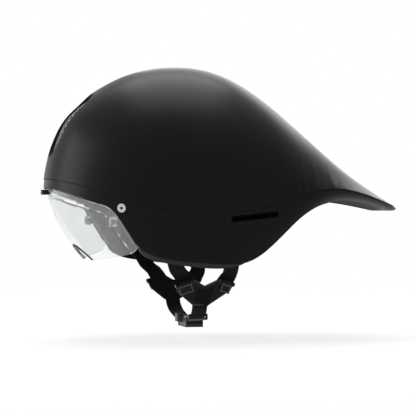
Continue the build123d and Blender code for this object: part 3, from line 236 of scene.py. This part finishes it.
def group_with(name, inputs, outputs):
    """A shader node group with named sockets and its input and output nodes."""
    group = bpy.data.node_groups.new(name, "ShaderNodeTree")
    for label, kind, value in inputs:
        socket = group.interface.new_socket(name=label, in_out="INPUT", socket_type=kind)
        if value is not None:
            socket.default_value = value
    for label, kind in outputs:
        group.interface.new_socket(name=label, in_out="OUTPUT", socket_type=kind)
    return group, group.nodes.new("NodeGroupInput"), group.nodes.new("NodeGroupOutput")


def placed_on(tree, kind):
    """A texture node of this kind that lies on the piece's own coordinates."""
    texture = tree.nodes.new(kind)
    place = tree.nodes.new("ShaderNodeTexCoord")
    feed_all(texture, Vector=place.outputs["Object"])
    return texture


def noise(tree, scale, detail):
    """A noise pattern on the piece's own coordinates."""
    texture = placed_on(tree, "ShaderNodeTexNoise")
    feed_all(texture, Scale=scale, Detail=detail)
    return texture.outputs["Fac"]


def mixed_colour(share, first, second):
    """A Mix node between two colours."""
    step = share.id_data.nodes.new("ShaderNodeMix")
    step.data_type = "RGBA"
    sockets = {socket.identifier: socket for socket in (*step.inputs, *step.outputs)}
    feed(sockets["Factor_Float"], share)
    feed(sockets["A_Color"], first)
    feed(sockets["B_Color"], second)
    return sockets["Result_Color"]


def relief(height, depth, strength=1.0):
    """The normal of a surface that the height raises by up to the depth."""
    step = height.id_data.nodes.new("ShaderNodeBump")
    feed_all(step, Strength=strength, Distance=depth, Height=height)
    return step.outputs["Normal"]


grain_group, grain_in, grain_out = group_with(
    "moulded_grain",
    [
        ("Colour", "NodeSocketColor", None),
        ("Worn Colour", "NodeSocketColor", None),
        ("Roughness", "NodeSocketFloat", 0.5),
        ("Grain Size", "NodeSocketFloat", 900.0),
        ("Grain Depth", "NodeSocketFloat", 0.1),
        ("Patches", "NodeSocketFloat", 0.2),
        ("Wear", "NodeSocketFloat", 0.3),
    ],
    [
        ("Colour", "NodeSocketColor"),
        ("Roughness", "NodeSocketFloat"),
        ("Height", "NodeSocketFloat"),
    ],
)
grain_values = grain_in.outputs
fine = noise(grain_group, grain_values["Grain Size"], fine_detail)
broad = noise(grain_group, patch_scale, patch_detail)
patches = maths("MULTIPLY", ranged(broad, patch_from, patch_to), grain_values["Patches"])
pointed = grain_group.nodes.new("ShaderNodeNewGeometry").outputs["Pointiness"]
rubbing = maths("MULTIPLY", ranged(pointed, rubbed_from, rubbed_to), grain_values["Wear"])
rubbed_tone = mixed_colour(rubbing, grain_values["Colour"], grain_values["Worn Colour"])
dust = maths("MULTIPLY", patches, dust_share)
feed_all(
    grain_out,
    Colour=mixed_colour(dust, rubbed_tone, grain_values["Worn Colour"]),
    Roughness=maths("MULTIPLY_ADD", patches, patch_roughness, grain_values["Roughness"]),
    Height=maths("MULTIPLY", fine, grain_values["Grain Depth"]),
)


def moulded(name, colour, worn, roughness, size=900.0, depth=0.2, patches=0.25, wear=0.3,
            **sockets):
    """A moulded plastic, rubber or metal: the grain group into a Principled shader."""
    finish, tree, shader = new_finish(name)
    grain = tree.nodes.new("ShaderNodeGroup")
    grain.node_tree = grain_group
    feed_all(grain, Colour=(*colour, 1.0), Worn_Colour=(*worn, 1.0), Roughness=roughness,
             Grain_Size=size, Grain_Depth=depth, Patches=patches, Wear=wear)
    feed_all(shader, Base_Color=grain.outputs["Colour"], Roughness=grain.outputs["Roughness"],
             Normal=relief(grain.outputs["Height"], grain_relief), **sockets)
    return finish


weld_gap = 2e-6
sliver_gap = 1e-6
flat_limit = math.radians(1.0)


def smooth_copy(node, body, finish, crease=32.0, soften=0.0, painted_highlight=None):
    """The node's own shape, joined and smooth, with its sharp edges rounded and given a painted
    highlight.
    """
    data = nodes[node].data.copy()
    mesh = bmesh.new()
    mesh.from_mesh(data)
    bmesh.ops.remove_doubles(mesh, verts=mesh.verts, dist=weld_gap)
    bmesh.ops.dissolve_degenerate(mesh, edges=mesh.edges, dist=sliver_gap)
    sharp = math.radians(crease)
    data.materials.clear()
    data.materials.append(finish)
    for face in mesh.faces:
        face.material_index = 0
    if soften:
        bmesh.ops.dissolve_limit(mesh, angle_limit=flat_limit, verts=mesh.verts, edges=mesh.edges)
        rims = [e for e in mesh.edges if e.is_manifold and e.calc_face_angle(0.0) > sharp]
        rounded = bmesh.ops.bevel(mesh, geom=rims, offset=soften, segments=2, profile=0.5,
                                  affect="EDGES", clamp_overlap=True, material=-1)
        if painted_highlight:
            data.materials.append(painted_highlight)
            for face in rounded["faces"]:
                face.material_index = 1
    for face in mesh.faces:
        face.smooth = True
    for rim in mesh.edges:
        rim.smooth = rim.is_manifold and rim.calc_face_angle(0.0) < sharp
    mesh.to_mesh(data)
    mesh.free()
    piece = put_in_scene(node + "_look", data)
    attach(piece, body)
    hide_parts(node)
    return piece


shell_black = moulded("matt_clear_over_black", (0.0028, 0.0027, 0.0025), (0.02, 0.02, 0.02), 0.34,
                      size=1400.0, depth=0.012, patches=0.12, wear=0.1, Specular_IOR_Level=0.09)
lower_black = moulded("matt_black_ear_cover", (0.0032, 0.0028, 0.0016), (0.02, 0.02, 0.02), 0.32,
                      size=1400.0, depth=0.012, patches=0.14, wear=0.1, Specular_IOR_Level=0.09)
upper_look = smooth_copy("upper_shell", "helmet", shell_black)
smooth_copy("lower_shell", "helmet", lower_black)

waist_from = 0.085
waist_run = 0.085
waist_share = 0.15
least_rise = 0.001
seam_bin = 0.004
seam_low, dome_high = {}, {}
for vert in upper_look.data.vertices:
    station = round(vert.co.y / seam_bin)
    seam_low[station] = min(seam_low.get(station, 1.0), vert.co.z)
    dome_high[station] = max(dome_high.get(station, -1.0), vert.co.z)
stations = sorted(seam_low)


def held(share):
    """The share, held between zero and one."""
    return min(max(share, 0.0), 1.0)


def at_station(heights, y):
    """The height in a table of the upper shell's stations at a place along the helmet."""
    spot = y / seam_bin
    after = min(bisect.bisect_left(stations, spot), len(stations) - 1)
    ahead, behind = stations[max(after - 1, 0)], stations[after]
    share = 0.0 if ahead == behind else held((spot - ahead) / (behind - ahead))
    return heights[ahead] * (1.0 - share) + heights[behind] * share


def tail_waist(piece):
    """Hollows the tail's sides above the seam, so that they sweep out to a thin edge."""
    for vert in piece.data.vertices:
        along = held((vert.co.y - waist_from) / waist_run)
        if along > 0.0:
            low, high = at_station(seam_low, vert.co.y), at_station(dome_high, vert.co.y)
            rise = held((vert.co.z - low) / max(high - low, least_rise))
            eased = along * along * (3.0 - 2.0 * along)
            hollow = 4.0 * rise * (1.0 - rise)
            vert.co.x *= 1.0 - waist_share * eased * hollow
    piece.data.update()


tail_waist(upper_look)

# The tray is a moulded plastic panel with three exhaust ports. It closes the underside of the
# tail, and its sides are hollowed with those of the shell above it.
tray_black = moulded("tail_tray_plastic", (0.014, 0.014, 0.014), (0.04, 0.04, 0.04), 0.55,
                     Specular_IOR_Level=0.2)
tail_waist(smooth_copy("tail_tray", "helmet", tray_black))

# The liners are black beaded foam moulded to the inside of the shells, cut for the ears, the
# crown channels and the retention.
bead_scale = 330.0
bead_relief = 0.0006
bead_strength = 0.6
bead_gap_black = (0.012, 0.012, 0.012, 1.0)
bead_black = (0.045, 0.045, 0.045, 1.0)
foam, foam_tree, foam_shader = new_finish("beaded_foam")
beads = placed_on(foam_tree, "ShaderNodeTexVoronoi")
feed_all(beads, Scale=bead_scale)
bead_rise = ranged(beads.outputs["Distance"], 0.0, 1.0, at_low=1.0, at_high=0.0)
feed_all(foam_shader, Base_Color=mixed_colour(bead_rise, bead_gap_black, bead_black),
         Normal=relief(bead_rise, bead_relief, bead_strength),
         Roughness=0.62, Specular_IOR_Level=0.2)
for node in ("crown_liner", "ear_liner_left", "ear_liner_right", "tail_liner"):
    tail_waist(smooth_copy(node, "helmet", foam))

# The trims are soft matt rubber. One is bonded under the ear covers, along their lower rim, and
# the other is pushed on to the edge of the lens at the nose notch.
trim_rubber = moulded("trim_rubber", (0.014, 0.014, 0.013), (0.04, 0.04, 0.04), 0.6, depth=0.3,
                      Specular_IOR_Level=0.2)
smooth_copy("rim_trim", "helmet", trim_rubber)
smooth_copy("nose_trim", "visor", trim_rubber)

# The vents are moulded plastic: a bezel pressed into the nose intake with a fine mesh in it, and
# dark inserts that line the side slots, made near black and almost unreflecting as painted shade
# inside the slots. A paler, more reflective copy of the mesh, a little smaller, stands ahead of
# it near the mouth of the bezel as painted light on the mesh.
vent_black = moulded("vent_plastic", (0.005, 0.005, 0.005), (0.02, 0.02, 0.02), 0.4,
                     Specular_IOR_Level=0.12)
mesh_grey = moulded("intake_mesh_plastic", (0.05, 0.05, 0.05), (0.07, 0.07, 0.07), 0.7,
                    Specular_IOR_Level=0.1)
# The paler grey is painted light: the lit face of the intake mesh.
painted_light_grey = moulded("intake_mesh_painted_light", (0.15, 0.15, 0.15), (0.2, 0.2, 0.2), 0.6,
                     Specular_IOR_Level=0.3)
# Painted shade: the slot inserts are near black with almost no reflection, for the shade inside
# the slots.
slot_painted_shade = moulded("side_slot_painted_shade", (0.0015, 0.0015, 0.0015), (0.004, 0.004, 0.004), 0.7,
                     Specular_IOR_Level=0.02)
smooth_copy("intake_bezel", "helmet", vent_black)
smooth_copy("intake_mesh", "helmet", mesh_grey)
# A paler copy of the intake mesh, lifted ahead of it, as painted light on the mesh.
painted_light_lift = 0.0058
painted_light_share = 0.97
intake_turn = math.radians(35.7)
painted_light_low, painted_light_high = (Vector(c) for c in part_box("intake_mesh"))
painted_light_middle = (painted_light_low + painted_light_high) / 2
painted_light_out = Vector((0.0, -math.cos(intake_turn), math.sin(intake_turn)))
painted_light_bmesh = bmesh.new()
painted_light_bmesh.from_mesh(nodes["intake_mesh"].data)
bmesh.ops.remove_doubles(painted_light_bmesh, verts=painted_light_bmesh.verts, dist=weld_gap)
bmesh.ops.translate(painted_light_bmesh, verts=painted_light_bmesh.verts, vec=-painted_light_middle)
bmesh.ops.scale(painted_light_bmesh, verts=painted_light_bmesh.verts, vec=(painted_light_share, painted_light_share, painted_light_share))
bmesh.ops.translate(painted_light_bmesh, verts=painted_light_bmesh.verts, vec=painted_light_middle + painted_light_out * painted_light_lift)
painted_light_data = bpy.data.meshes.new("intake_mesh_painted_light_copy")
painted_light_bmesh.to_mesh(painted_light_data)
painted_light_bmesh.free()
painted_light_data.materials.append(painted_light_grey)
painted_light_mesh = put_in_scene("intake_mesh_painted_light_copy", painted_light_data)
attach(painted_light_mesh, "helmet")
smooth_copy("side_vent_left", "helmet", slot_painted_shade)
smooth_copy("side_vent_right", "helmet", slot_painted_shade)

# The temple rings are turned aluminium screws that fix the ear covers at the temples. The socket
# in the middle of each is painted black with almost no reflection, as painted shade.
ring_metal = moulded("ring_aluminium", (0.4, 0.4, 0.41), (0.6, 0.6, 0.6), 0.34, size=3000.0,
                     Metallic=1.0)
socket_painted_shade = moulded("ring_socket_painted_shade", (0.004, 0.004, 0.004), (0.02, 0.02, 0.02), 0.7,
                      Specular_IOR_Level=0.05)
ring_axis = Vector((0.8497, -0.5189, -0.094))
ring_middle = Vector((0.09044, -0.06025, -0.02796))
socket_radius = 0.0016
rings = smooth_copy("temple_rings", "helmet", ring_metal)
rings.data.materials.append(socket_painted_shade)
# The faces round each ring's axis get the black of the painted shade in the socket.
for face in rings.data.polygons:
    flip = Vector((math.copysign(1.0, face.center.x), 1.0, 1.0))
    off_middle = face.center - ring_middle * flip
    outward = ring_axis * flip
    if (off_middle - outward * off_middle.dot(outward)).length < socket_radius:
        face.material_index = 1

# The magnets are small discs pressed into round pockets. Those of the visor and of its seats in
# the liner have a black epoxy coat, and those of the chin buckle a nickel plating.
plated = moulded("magnet_plating", (0.5, 0.5, 0.5), (0.7, 0.7, 0.7), 0.3, size=2000.0,
                 Metallic=1.0)
coated = moulded("magnet_epoxy", (0.012, 0.012, 0.012), (0.03, 0.03, 0.03), 0.5,
                 Specular_IOR_Level=0.2)
smooth_copy("seat_magnets", "helmet", coated)
smooth_copy("base_magnets", "helmet", plated)
smooth_copy("visor_magnets", "visor", coated)
smooth_copy("slider_magnets", "slider", plated)

# The visor is one lens moulded from clear polycarbonate, with a shallow step moulded across it.
# A black clip holds it at the brow, and two tabs of the same clear plastic carry the magnets
# that hold it at the sides.
scuff_scale = 160.0
scuff_detail = 4.0
scuff_from = 0.4
scuff_to = 0.8
polish_roughness = 0.01
scuff_roughness = 0.07
clear, clear_tree, clear_shader = new_finish("clear_polycarbonate")
scuffs = noise(clear_tree, scuff_scale, scuff_detail)
feed_all(clear_shader, Base_Color=(0.93, 0.95, 0.95, 1.0), Transmission_Weight=0.92, IOR=1.5,
         Roughness=ranged(scuffs, scuff_from, scuff_to, polish_roughness, scuff_roughness))
step_depth = 0.0004
step_run = 0.0009
step_corner = Vector((0.0, -0.0759, -0.0344))
step_lines = (Vector((0.0, 0.391, 0.921)), Vector((0.0, 0.826, 0.563)))
lens_middle = Vector((0.0, 0.02, 0.0))
level_part = Vector((1.0, 1.0, 0.0))
lens = smooth_copy("visor_lens", "visor", clear, crease=40.0)
lens_mesh = bmesh.new()
lens_mesh.from_mesh(lens.data)
for line in step_lines:
    for shift in (0.0, step_run):
        bmesh.ops.bisect_plane(lens_mesh,
                               geom=[*lens_mesh.verts, *lens_mesh.edges, *lens_mesh.faces],
                               plane_co=step_corner + line * shift, plane_no=line)
for vert in lens_mesh.verts:
    outside = max((vert.co - step_corner).dot(line) for line in step_lines)
    inward = (lens_middle - vert.co) * level_part
    vert.co += inward.normalized() * step_depth * held(outside / step_run)
lens_mesh.to_mesh(lens.data)
lens_mesh.free()
smooth_copy("visor_clip", "visor", vent_black)
tabs = smooth_copy("visor_tabs", "visor", clear)

# Straps: black woven polyester webbing, 15 mm wide, two a side from the liner's ear pockets down
# to the dividers, and one a side from the dividers to the chin buckle.
strap_width = 0.015
strap_wall = 0.0015
strap_columns = 8
strap_row = 0.0015
half_grid = 0.5
selvedge_share = 0.3
edge_limit = 1.0
row_lean = 0.5
rib_share = 0.35
cord_share = 0.15
weave_middle = 0.5
webbing_relief = 0.0003
weave_group, weave_in, weave_out = group_with(
    "webbing_weave",
    [
        ("Along", "NodeSocketFloat", 0.0),
        ("Across", "NodeSocketFloat", 0.0),
        ("Thread", "NodeSocketFloat", 0.0011),
        ("Dark", "NodeSocketColor", None),
        ("Light", "NodeSocketColor", None),
    ],
    [("Colour", "NodeSocketColor"), ("Height", "NodeSocketFloat")],
)
weave_values = weave_in.outputs
threads_along = maths("DIVIDE", weave_values["Along"], weave_values["Thread"])
threads_across = maths("DIVIDE", weave_values["Across"], weave_values["Thread"])
leaning = maths("ADD", threads_along, maths("MULTIPLY", threads_across, row_lean))
rib_wave = maths("SINE", maths("MULTIPLY", leaning, math.tau))
cord_wave = maths("SINE", maths("MULTIPLY", threads_across, math.tau))
cords = maths("MULTIPLY_ADD", cord_wave, cord_share, weave_middle)
woven = maths("MULTIPLY_ADD", maths("MULTIPLY", rib_wave, cord_wave), rib_share, cords)
weave_colour = mixed_colour(woven, weave_values["Dark"], weave_values["Light"])
feed_all(weave_out, Colour=weave_colour, Height=woven)

webbing_black, web_tree, web_shader = new_finish("black_webbing")
web_uv = web_tree.nodes.new("ShaderNodeUVMap")
web_uv.uv_map = "run"
web_split = web_tree.nodes.new("ShaderNodeSeparateXYZ")
feed(web_split.inputs[0], web_uv.outputs["UV"])
web_weave = web_tree.nodes.new("ShaderNodeGroup")
web_weave.node_tree = weave_group
feed_all(web_weave, Across=web_split.outputs["X"], Along=web_split.outputs["Y"],
         Dark=(0.0015, 0.0015, 0.0015, 1.0), Light=(0.014, 0.014, 0.015, 1.0))
feed_all(web_shader, Base_Color=web_weave.outputs["Colour"],
         Normal=relief(web_weave.outputs["Height"], webbing_relief),
         Roughness=0.72, Specular_IOR_Level=0.08, Sheen_Weight=0.03)


def eased_run(places, passes=5):
    """Evenly spaced points along straight runs between the places, with their corners eased."""
    points = []
    for start, end in zip(places, places[1:]):
        count = max(1, round((end - start).length / strap_row))
        points += [start.lerp(end, k / count) for k in range(count)]
    points.append(places[-1])
    for _ in range(passes):
        inner = [(a + b * 2 + c) / 4 for a, b, c in zip(points, points[1:], points[2:])]
        points = [points[0], *inner, points[-1]]
    return points


def strap(name, places, body, cad_node=None, pulled_by=None):
    """A woven strap along its places: a grid laid on the run, thickened, with soft selvedges.

    The wall is measured straight up, so it is thinner where the strap runs steeply.
    """
    points = eased_run(places)
    rows = len(points) - 1
    mesh = bmesh.new()
    bmesh.ops.create_grid(mesh, x_segments=strap_columns, y_segments=rows, size=half_grid,
                          calc_uvs=True)
    run = mesh.loops.layers.uv.verify()
    length = sum((b - a).length for a, b in zip(places, places[1:]))
    for face in mesh.faces:
        for corner in face.loops:
            flat = corner.vert.co
            corner[run].uv = (flat.x * strap_width, (flat.y + half_grid) * length)
    for vert in mesh.verts:
        side, row = vert.co.x, round((vert.co.y + half_grid) * rows)
        slope = (points[min(row + 1, rows)] - points[max(row - 1, 0)]).normalized()
        out = slope.cross(Vector((0, 1, 0))).normalized()
        wide = out.cross(slope).normalized()
        vert.co = points[row] + wide * side * strap_width - out * strap_wall / 2
    bmesh.ops.solidify(mesh, geom=mesh.faces[:], thickness=-strap_wall)
    bmesh.ops.recalc_face_normals(mesh, faces=mesh.faces)
    rims = [e for e in mesh.edges if e.is_manifold and e.calc_face_angle(0.0) > edge_limit]
    bmesh.ops.bevel(mesh, geom=rims, offset=strap_wall * selvedge_share, segments=2, profile=0.5,
                    affect="EDGES", material=-1)
    for face in mesh.faces:
        face.smooth = True
    data = bpy.data.meshes.new(name)
    mesh.to_mesh(data)
    mesh.free()
    data.uv_layers[0].name = "run"
    data.materials.append(webbing_black)
    piece = put_in_scene(name, data)
    if pulled_by:
        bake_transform(piece)
    else:
        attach(piece, body)
    if cad_node:
        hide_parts(cad_node)


def mirrored(places):
    """The same places on the other side of the helmet."""
    return [Vector((-p.x, p.y, p.z)) for p in places]


strap_runs = {
    "front": [
        (0.06617, 0.0100, -0.1040), (0.06734, 0.0050, -0.0970), (0.06793, 0.0025, -0.0935),
        (0.0750, -0.0040, -0.0870), (0.0840, -0.0090, -0.0750), (0.0910, -0.0140, -0.0610),
        (0.0930, -0.0170, -0.0460),
    ],
    "rear": [
        (0.06617, 0.0420, -0.1040), (0.06734, 0.0470, -0.0970), (0.06793, 0.0495, -0.0935),
        (0.0750, 0.0495, -0.0870), (0.0840, 0.0485, -0.0750), (0.0910, 0.0462, -0.0610),
        (0.0930, 0.0440, -0.0460),
    ],
}
chin_run = [
    (0.06483, 0.0215, -0.1120), (0.06299, 0.0215, -0.1230), (0.05991, 0.02182, -0.12737),
    (0.05199, 0.02262, -0.13246), (0.03572, 0.02429, -0.13756), (0.0205, 0.0260, -0.1412),
    (0.0140, 0.0260, -0.1412),
]
for word, strap_run in strap_runs.items():
    strap_places = [Vector(p) for p in strap_run]
    strap(f"webbing_{word}_left", strap_places, "helmet", f"strap_{word}_left")
    strap(f"webbing_{word}_right", mirrored(strap_places), "helmet", f"strap_{word}_right")
chin_places = [Vector(p) for p in chin_run]
strap("webbing_chin_left", chin_places, "helmet", "chin_strap_left")
strap("webbing_chin_right", mirrored(chin_places), "helmet", "chin_strap_right", "slider")

# The strap hardware is moulded from glass-filled nylon: dividers with cam gates that turn on
# steel pins and clamp the webbing, a fold of webbing over the middle of each divider, anchor
# discs and band guides fixed to the liner, and a keeper on the left chin strap.
hard_black = moulded("hardware_nylon", (0.0045, 0.0045, 0.0045), (0.008, 0.008, 0.008), 0.4,
                     size=1500.0, depth=0.25, wear=0.3, Specular_IOR_Level=0.14)
# A lighter, glossier nylon: a painted highlight on the outer faces and rounded edges of the
# hardware.
hard_painted_highlight = moulded("hardware_painted_highlight", (0.045, 0.045, 0.045), (0.06, 0.06, 0.06), 0.4,
                      size=1500.0, Specular_IOR_Level=0.35)
pin_steel = moulded("pin_steel", (0.5, 0.5, 0.5), (0.7, 0.7, 0.7), 0.3, Metallic=1.0)
rim_width = 0.0009
rim_sink = 0.00005
level_step = 0.0002
least_area = 3e-5
facing_share = 0.985
plate_along = 0.986
plate_lean = 0.165
fold_back = 0.0824
fold_front = 0.0868
fold_run = [
    (fold_back, 0.0265, -0.0940), (fold_back, 0.0265, -0.0908), (fold_front, 0.0265, -0.0906),
    (fold_front, 0.0245, -0.0990), (fold_front, 0.0215, -0.1085),
]


def paint_rim_highlight(piece, outward, sink=False):
    """Paints a highlight on the piece's outer flat face; sink keeps it to a rim round a middle
    that stays dark and a little lower.
    """
    mesh = bmesh.new()
    mesh.from_mesh(piece.data)
    levels = {}
    for face in mesh.faces:
        if face.normal.dot(outward) > facing_share:
            level = round(face.calc_center_median().dot(outward) / level_step)
            levels.setdefault(level, []).append(face)
    broad_levels = [level for level, faces in levels.items()
                    if sum(f.calc_area() for f in faces) > least_area]
    painted_highlight = levels[max(broad_levels)]
    if sink:
        painted_highlight = bmesh.ops.inset_region(mesh, faces=painted_highlight, thickness=rim_width, depth=-rim_sink,
                                        use_boundary=True, use_even_offset=True)["faces"]
    for face in painted_highlight:
        face.material_index = 1
        face.smooth = False
    mesh.to_mesh(piece.data)
    mesh.free()
    piece.data.materials.append(hard_painted_highlight)


for side, turn in (("left", 1.0), ("right", -1.0)):
    plate_out = Vector((plate_along * turn, 0.0, -plate_lean))
    plate_up = Vector((plate_lean * turn, 0.0, plate_along))
    # The outer faces of the gates carry a painted highlight, and those of the dividers carry one
    # as a rim.
    paint_rim_highlight(smooth_copy(f"divider_{side}", "helmet", hard_black), plate_out, sink=True)
    for word in ("front", "rear"):
        paint_rim_highlight(smooth_copy(f"gate_{word}_{side}", f"{word}_gate_{side}", hard_black), plate_out)
    smooth_copy(f"band_guide_{side}", "helmet", hard_black, soften=0.0002)
    fold_places = [plate_out * level + plate_up * height + Vector((0.0, place_y, 0.0))
                   for level, place_y, height in fold_run]
    strap(f"webbing_fold_{side}", fold_places, "helmet")
smooth_copy("gate_pins", "helmet", pin_steel)
smooth_copy("strap_anchors", "helmet", hard_black)
smooth_copy("strap_keeper", "helmet", hard_black, soften=0.0003, painted_highlight=hard_painted_highlight)

# The magnetic slide buckle: a base on the left strap and a slider with a pull on the right one.
# Both are moulded from glass-filled nylon, with the strap ends sewn round their bars.
buckle_grey = moulded("buckle_nylon", (0.022, 0.022, 0.022), (0.05, 0.05, 0.05), 0.38,
                      size=1500.0, depth=0.2, wear=0.4, Specular_IOR_Level=0.3)
# The rounded edges of the buckle carry a painted highlight.
smooth_copy("buckle_base", "helmet", buckle_grey, soften=0.0003, painted_highlight=hard_painted_highlight)
smooth_copy("buckle_slider", "slider", buckle_grey, soften=0.0003, painted_highlight=hard_painted_highlight)

# Nape retention: a moulded cradle carries a housing with a dial. The dial's pinion draws two
# nylon rack bands together, and the housing climbs a rail moulded to the liner.
band_nylon = moulded("band_nylon", (0.012, 0.012, 0.0125), (0.03, 0.03, 0.03), 0.38,
                     size=1200.0, depth=0.15, Specular_IOR_Level=0.25)
dial_rubber = moulded("dial_rubber", (0.016, 0.016, 0.017), (0.04, 0.04, 0.04), 0.62,
                      size=1600.0, depth=0.3, Specular_IOR_Level=0.25)
for node, body, finish, soften in (
    ("nape_cradle", "cradle", hard_black, 0.0004),
    ("housing_base", "cradle", hard_black, 0.0003),
    ("housing_cover", "cradle", hard_black, 0.0004),
    ("height_rail", "helmet", band_nylon, 0.0002),
    ("band_left", "left_band", band_nylon, 0.0),
    ("band_right", "right_band", band_nylon, 0.0),
    ("dial_knob", "dial", dial_rubber, 0.0004),
    ("pinion_gear", "dial", band_nylon, 0.0),
    ("dial_screw", "dial", pin_steel, 0.0),
):
    smooth_copy(node, body, finish, soften=soften, painted_highlight=hard_painted_highlight if soften else None)

# Comfort pads: soft foam in brushed cloth, held by hook patches to the liner and the cradle. All
# but those of the cradle have channels sewn across them.
nap_scale = 900.0
nap_detail = 4.0
nap_relief = 0.0004
pad_cloth, pad_tree, pad_shader = new_finish("brushed_pad_cloth")
nap = noise(pad_tree, nap_scale, nap_detail)
nap_colour = mixed_colour(nap, (0.02, 0.02, 0.021, 1.0), (0.075, 0.075, 0.078, 1.0))
feed_all(pad_shader, Base_Color=nap_colour, Normal=relief(nap, nap_relief), Roughness=0.9,
         Sheen_Weight=0.3, Specular_IOR_Level=0.15)

pad_voxel = 0.002
pad_start = 0.0005
pad_swell = 0.0019
pad_pressure = 4.0
pad_quality = 4
pad_frames = 20
channel_depth = 0.0011
channel_half = 0.0016


def evaluated_mesh(piece):
    """The piece's mesh with its modifiers applied."""
    modified = piece.evaluated_get(bpy.context.evaluated_depsgraph_get())
    return bpy.data.meshes.new_from_object(modified)


def inner_facing(places, normals):
    """For each point, how far its surface faces the head: one where it does so squarely."""
    return [max(0.0, -n.dot(place.normalized())) for place, n in zip(places, normals)]


def swollen_places(piece):
    """The places to which cloth pressure takes the piece's points."""
    cloth = piece.modifiers.new("swell", "CLOTH")
    cloth.settings.use_pressure = True
    cloth.settings.uniform_pressure_force = pad_pressure
    cloth.settings.effector_weights.gravity = 0.0
    cloth.settings.quality = pad_quality
    for frame_number in range(1, pad_frames + 1):
        bpy.context.scene.frame_set(frame_number)
    swollen = [v.co.copy() for v in evaluated_mesh(piece).vertices]
    piece.modifiers.clear()
    bpy.context.scene.frame_set(1)
    return swollen


def set_on(piece, node, body):
    """Shades a pad smooth and lets it ride on a body in place of its node."""
    for face in piece.data.polygons:
        face.use_smooth = True
    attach(piece, body)
    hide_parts(node)


def sewn_pad(node, body, channels):
    """A pad swollen by cloth pressure on its inner side, with channels sewn across it."""
    data = nodes[node].data.copy()
    data.materials.clear()
    data.materials.append(pad_cloth)
    piece = put_in_scene(node + "_cloth", data)
    voxels = piece.modifiers.new("voxels", "REMESH")
    voxels.mode = "VOXEL"
    voxels.voxel_size = pad_voxel
    piece.data = evaluated_mesh(piece)
    piece.modifiers.clear()
    normals = [v.normal.copy() for v in piece.data.vertices]
    start = [v.co - n * pad_start for v, n in zip(piece.data.vertices, normals)]
    for vert, place in zip(piece.data.vertices, start):
        vert.co = place
    swollen = swollen_places(piece)
    facing = inner_facing(start, normals)
    for vert, rest, moved, inward in zip(piece.data.vertices, start, swollen, facing):
        shift = moved - rest
        shift.length = min(shift.length, pad_swell * inward)
        vert.co = rest + shift
    finer = piece.modifiers.new("finer", "SUBSURF")
    finer.levels = finer.render_levels = 1
    piece.data = evaluated_mesh(piece)
    piece.modifiers.clear()
    places = [v.co.copy() for v in piece.data.vertices]
    facing = inner_facing(places, [v.normal.copy() for v in piece.data.vertices])
    for vert, place, inward in zip(piece.data.vertices, places, facing):
        offs = [(place - spot).dot(line) / channel_half for spot, line in channels]
        sunk = sum(channel_depth * math.exp(-off * off) for off in offs)
        vert.co = place + place.normalized() * sunk * inward
    set_on(piece, node, body)
    return piece


def mirrored_pad(node, body, other):
    """The pad of the right side, mirrored from the finished one of the left side."""
    data = other.data.copy()
    mesh = bmesh.new()
    mesh.from_mesh(data)
    bmesh.ops.scale(mesh, vec=(-1, 1, 1), verts=mesh.verts)
    bmesh.ops.recalc_face_normals(mesh, faces=mesh.faces)
    mesh.to_mesh(data)
    mesh.free()
    set_on(put_in_scene(node + "_cloth", data), node, body)


def channels_across(node, axis, shares):
    """Sewn lines square to an axis, at shares of the node's length along it."""
    low, high = (Vector(c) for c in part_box(node))
    line = Vector((0, 0, 0))
    line[axis] = 1.0
    return [(low.lerp(high, share), line) for share in shares]


sewn_pad("brow_pad", "helmet", channels_across("brow_pad", 0, (0.2, 0.4, 0.6, 0.8)))
sewn_pad("crown_pad_centre", "helmet", channels_across("crown_pad_centre", 1, (0.25, 0.5, 0.75)))
crown_channels = channels_across("crown_pad_left", 1, (0.33, 0.67))
crown_left = sewn_pad("crown_pad_left", "helmet", crown_channels)
mirrored_pad("crown_pad_right", "helmet", crown_left)
cheek_left = sewn_pad("cheek_pad_left", "helmet", channels_across("cheek_pad_left", 2, (0.5,)))
mirrored_pad("cheek_pad_right", "helmet", cheek_left)
sewn_pad("nape_pads", "cradle", [])
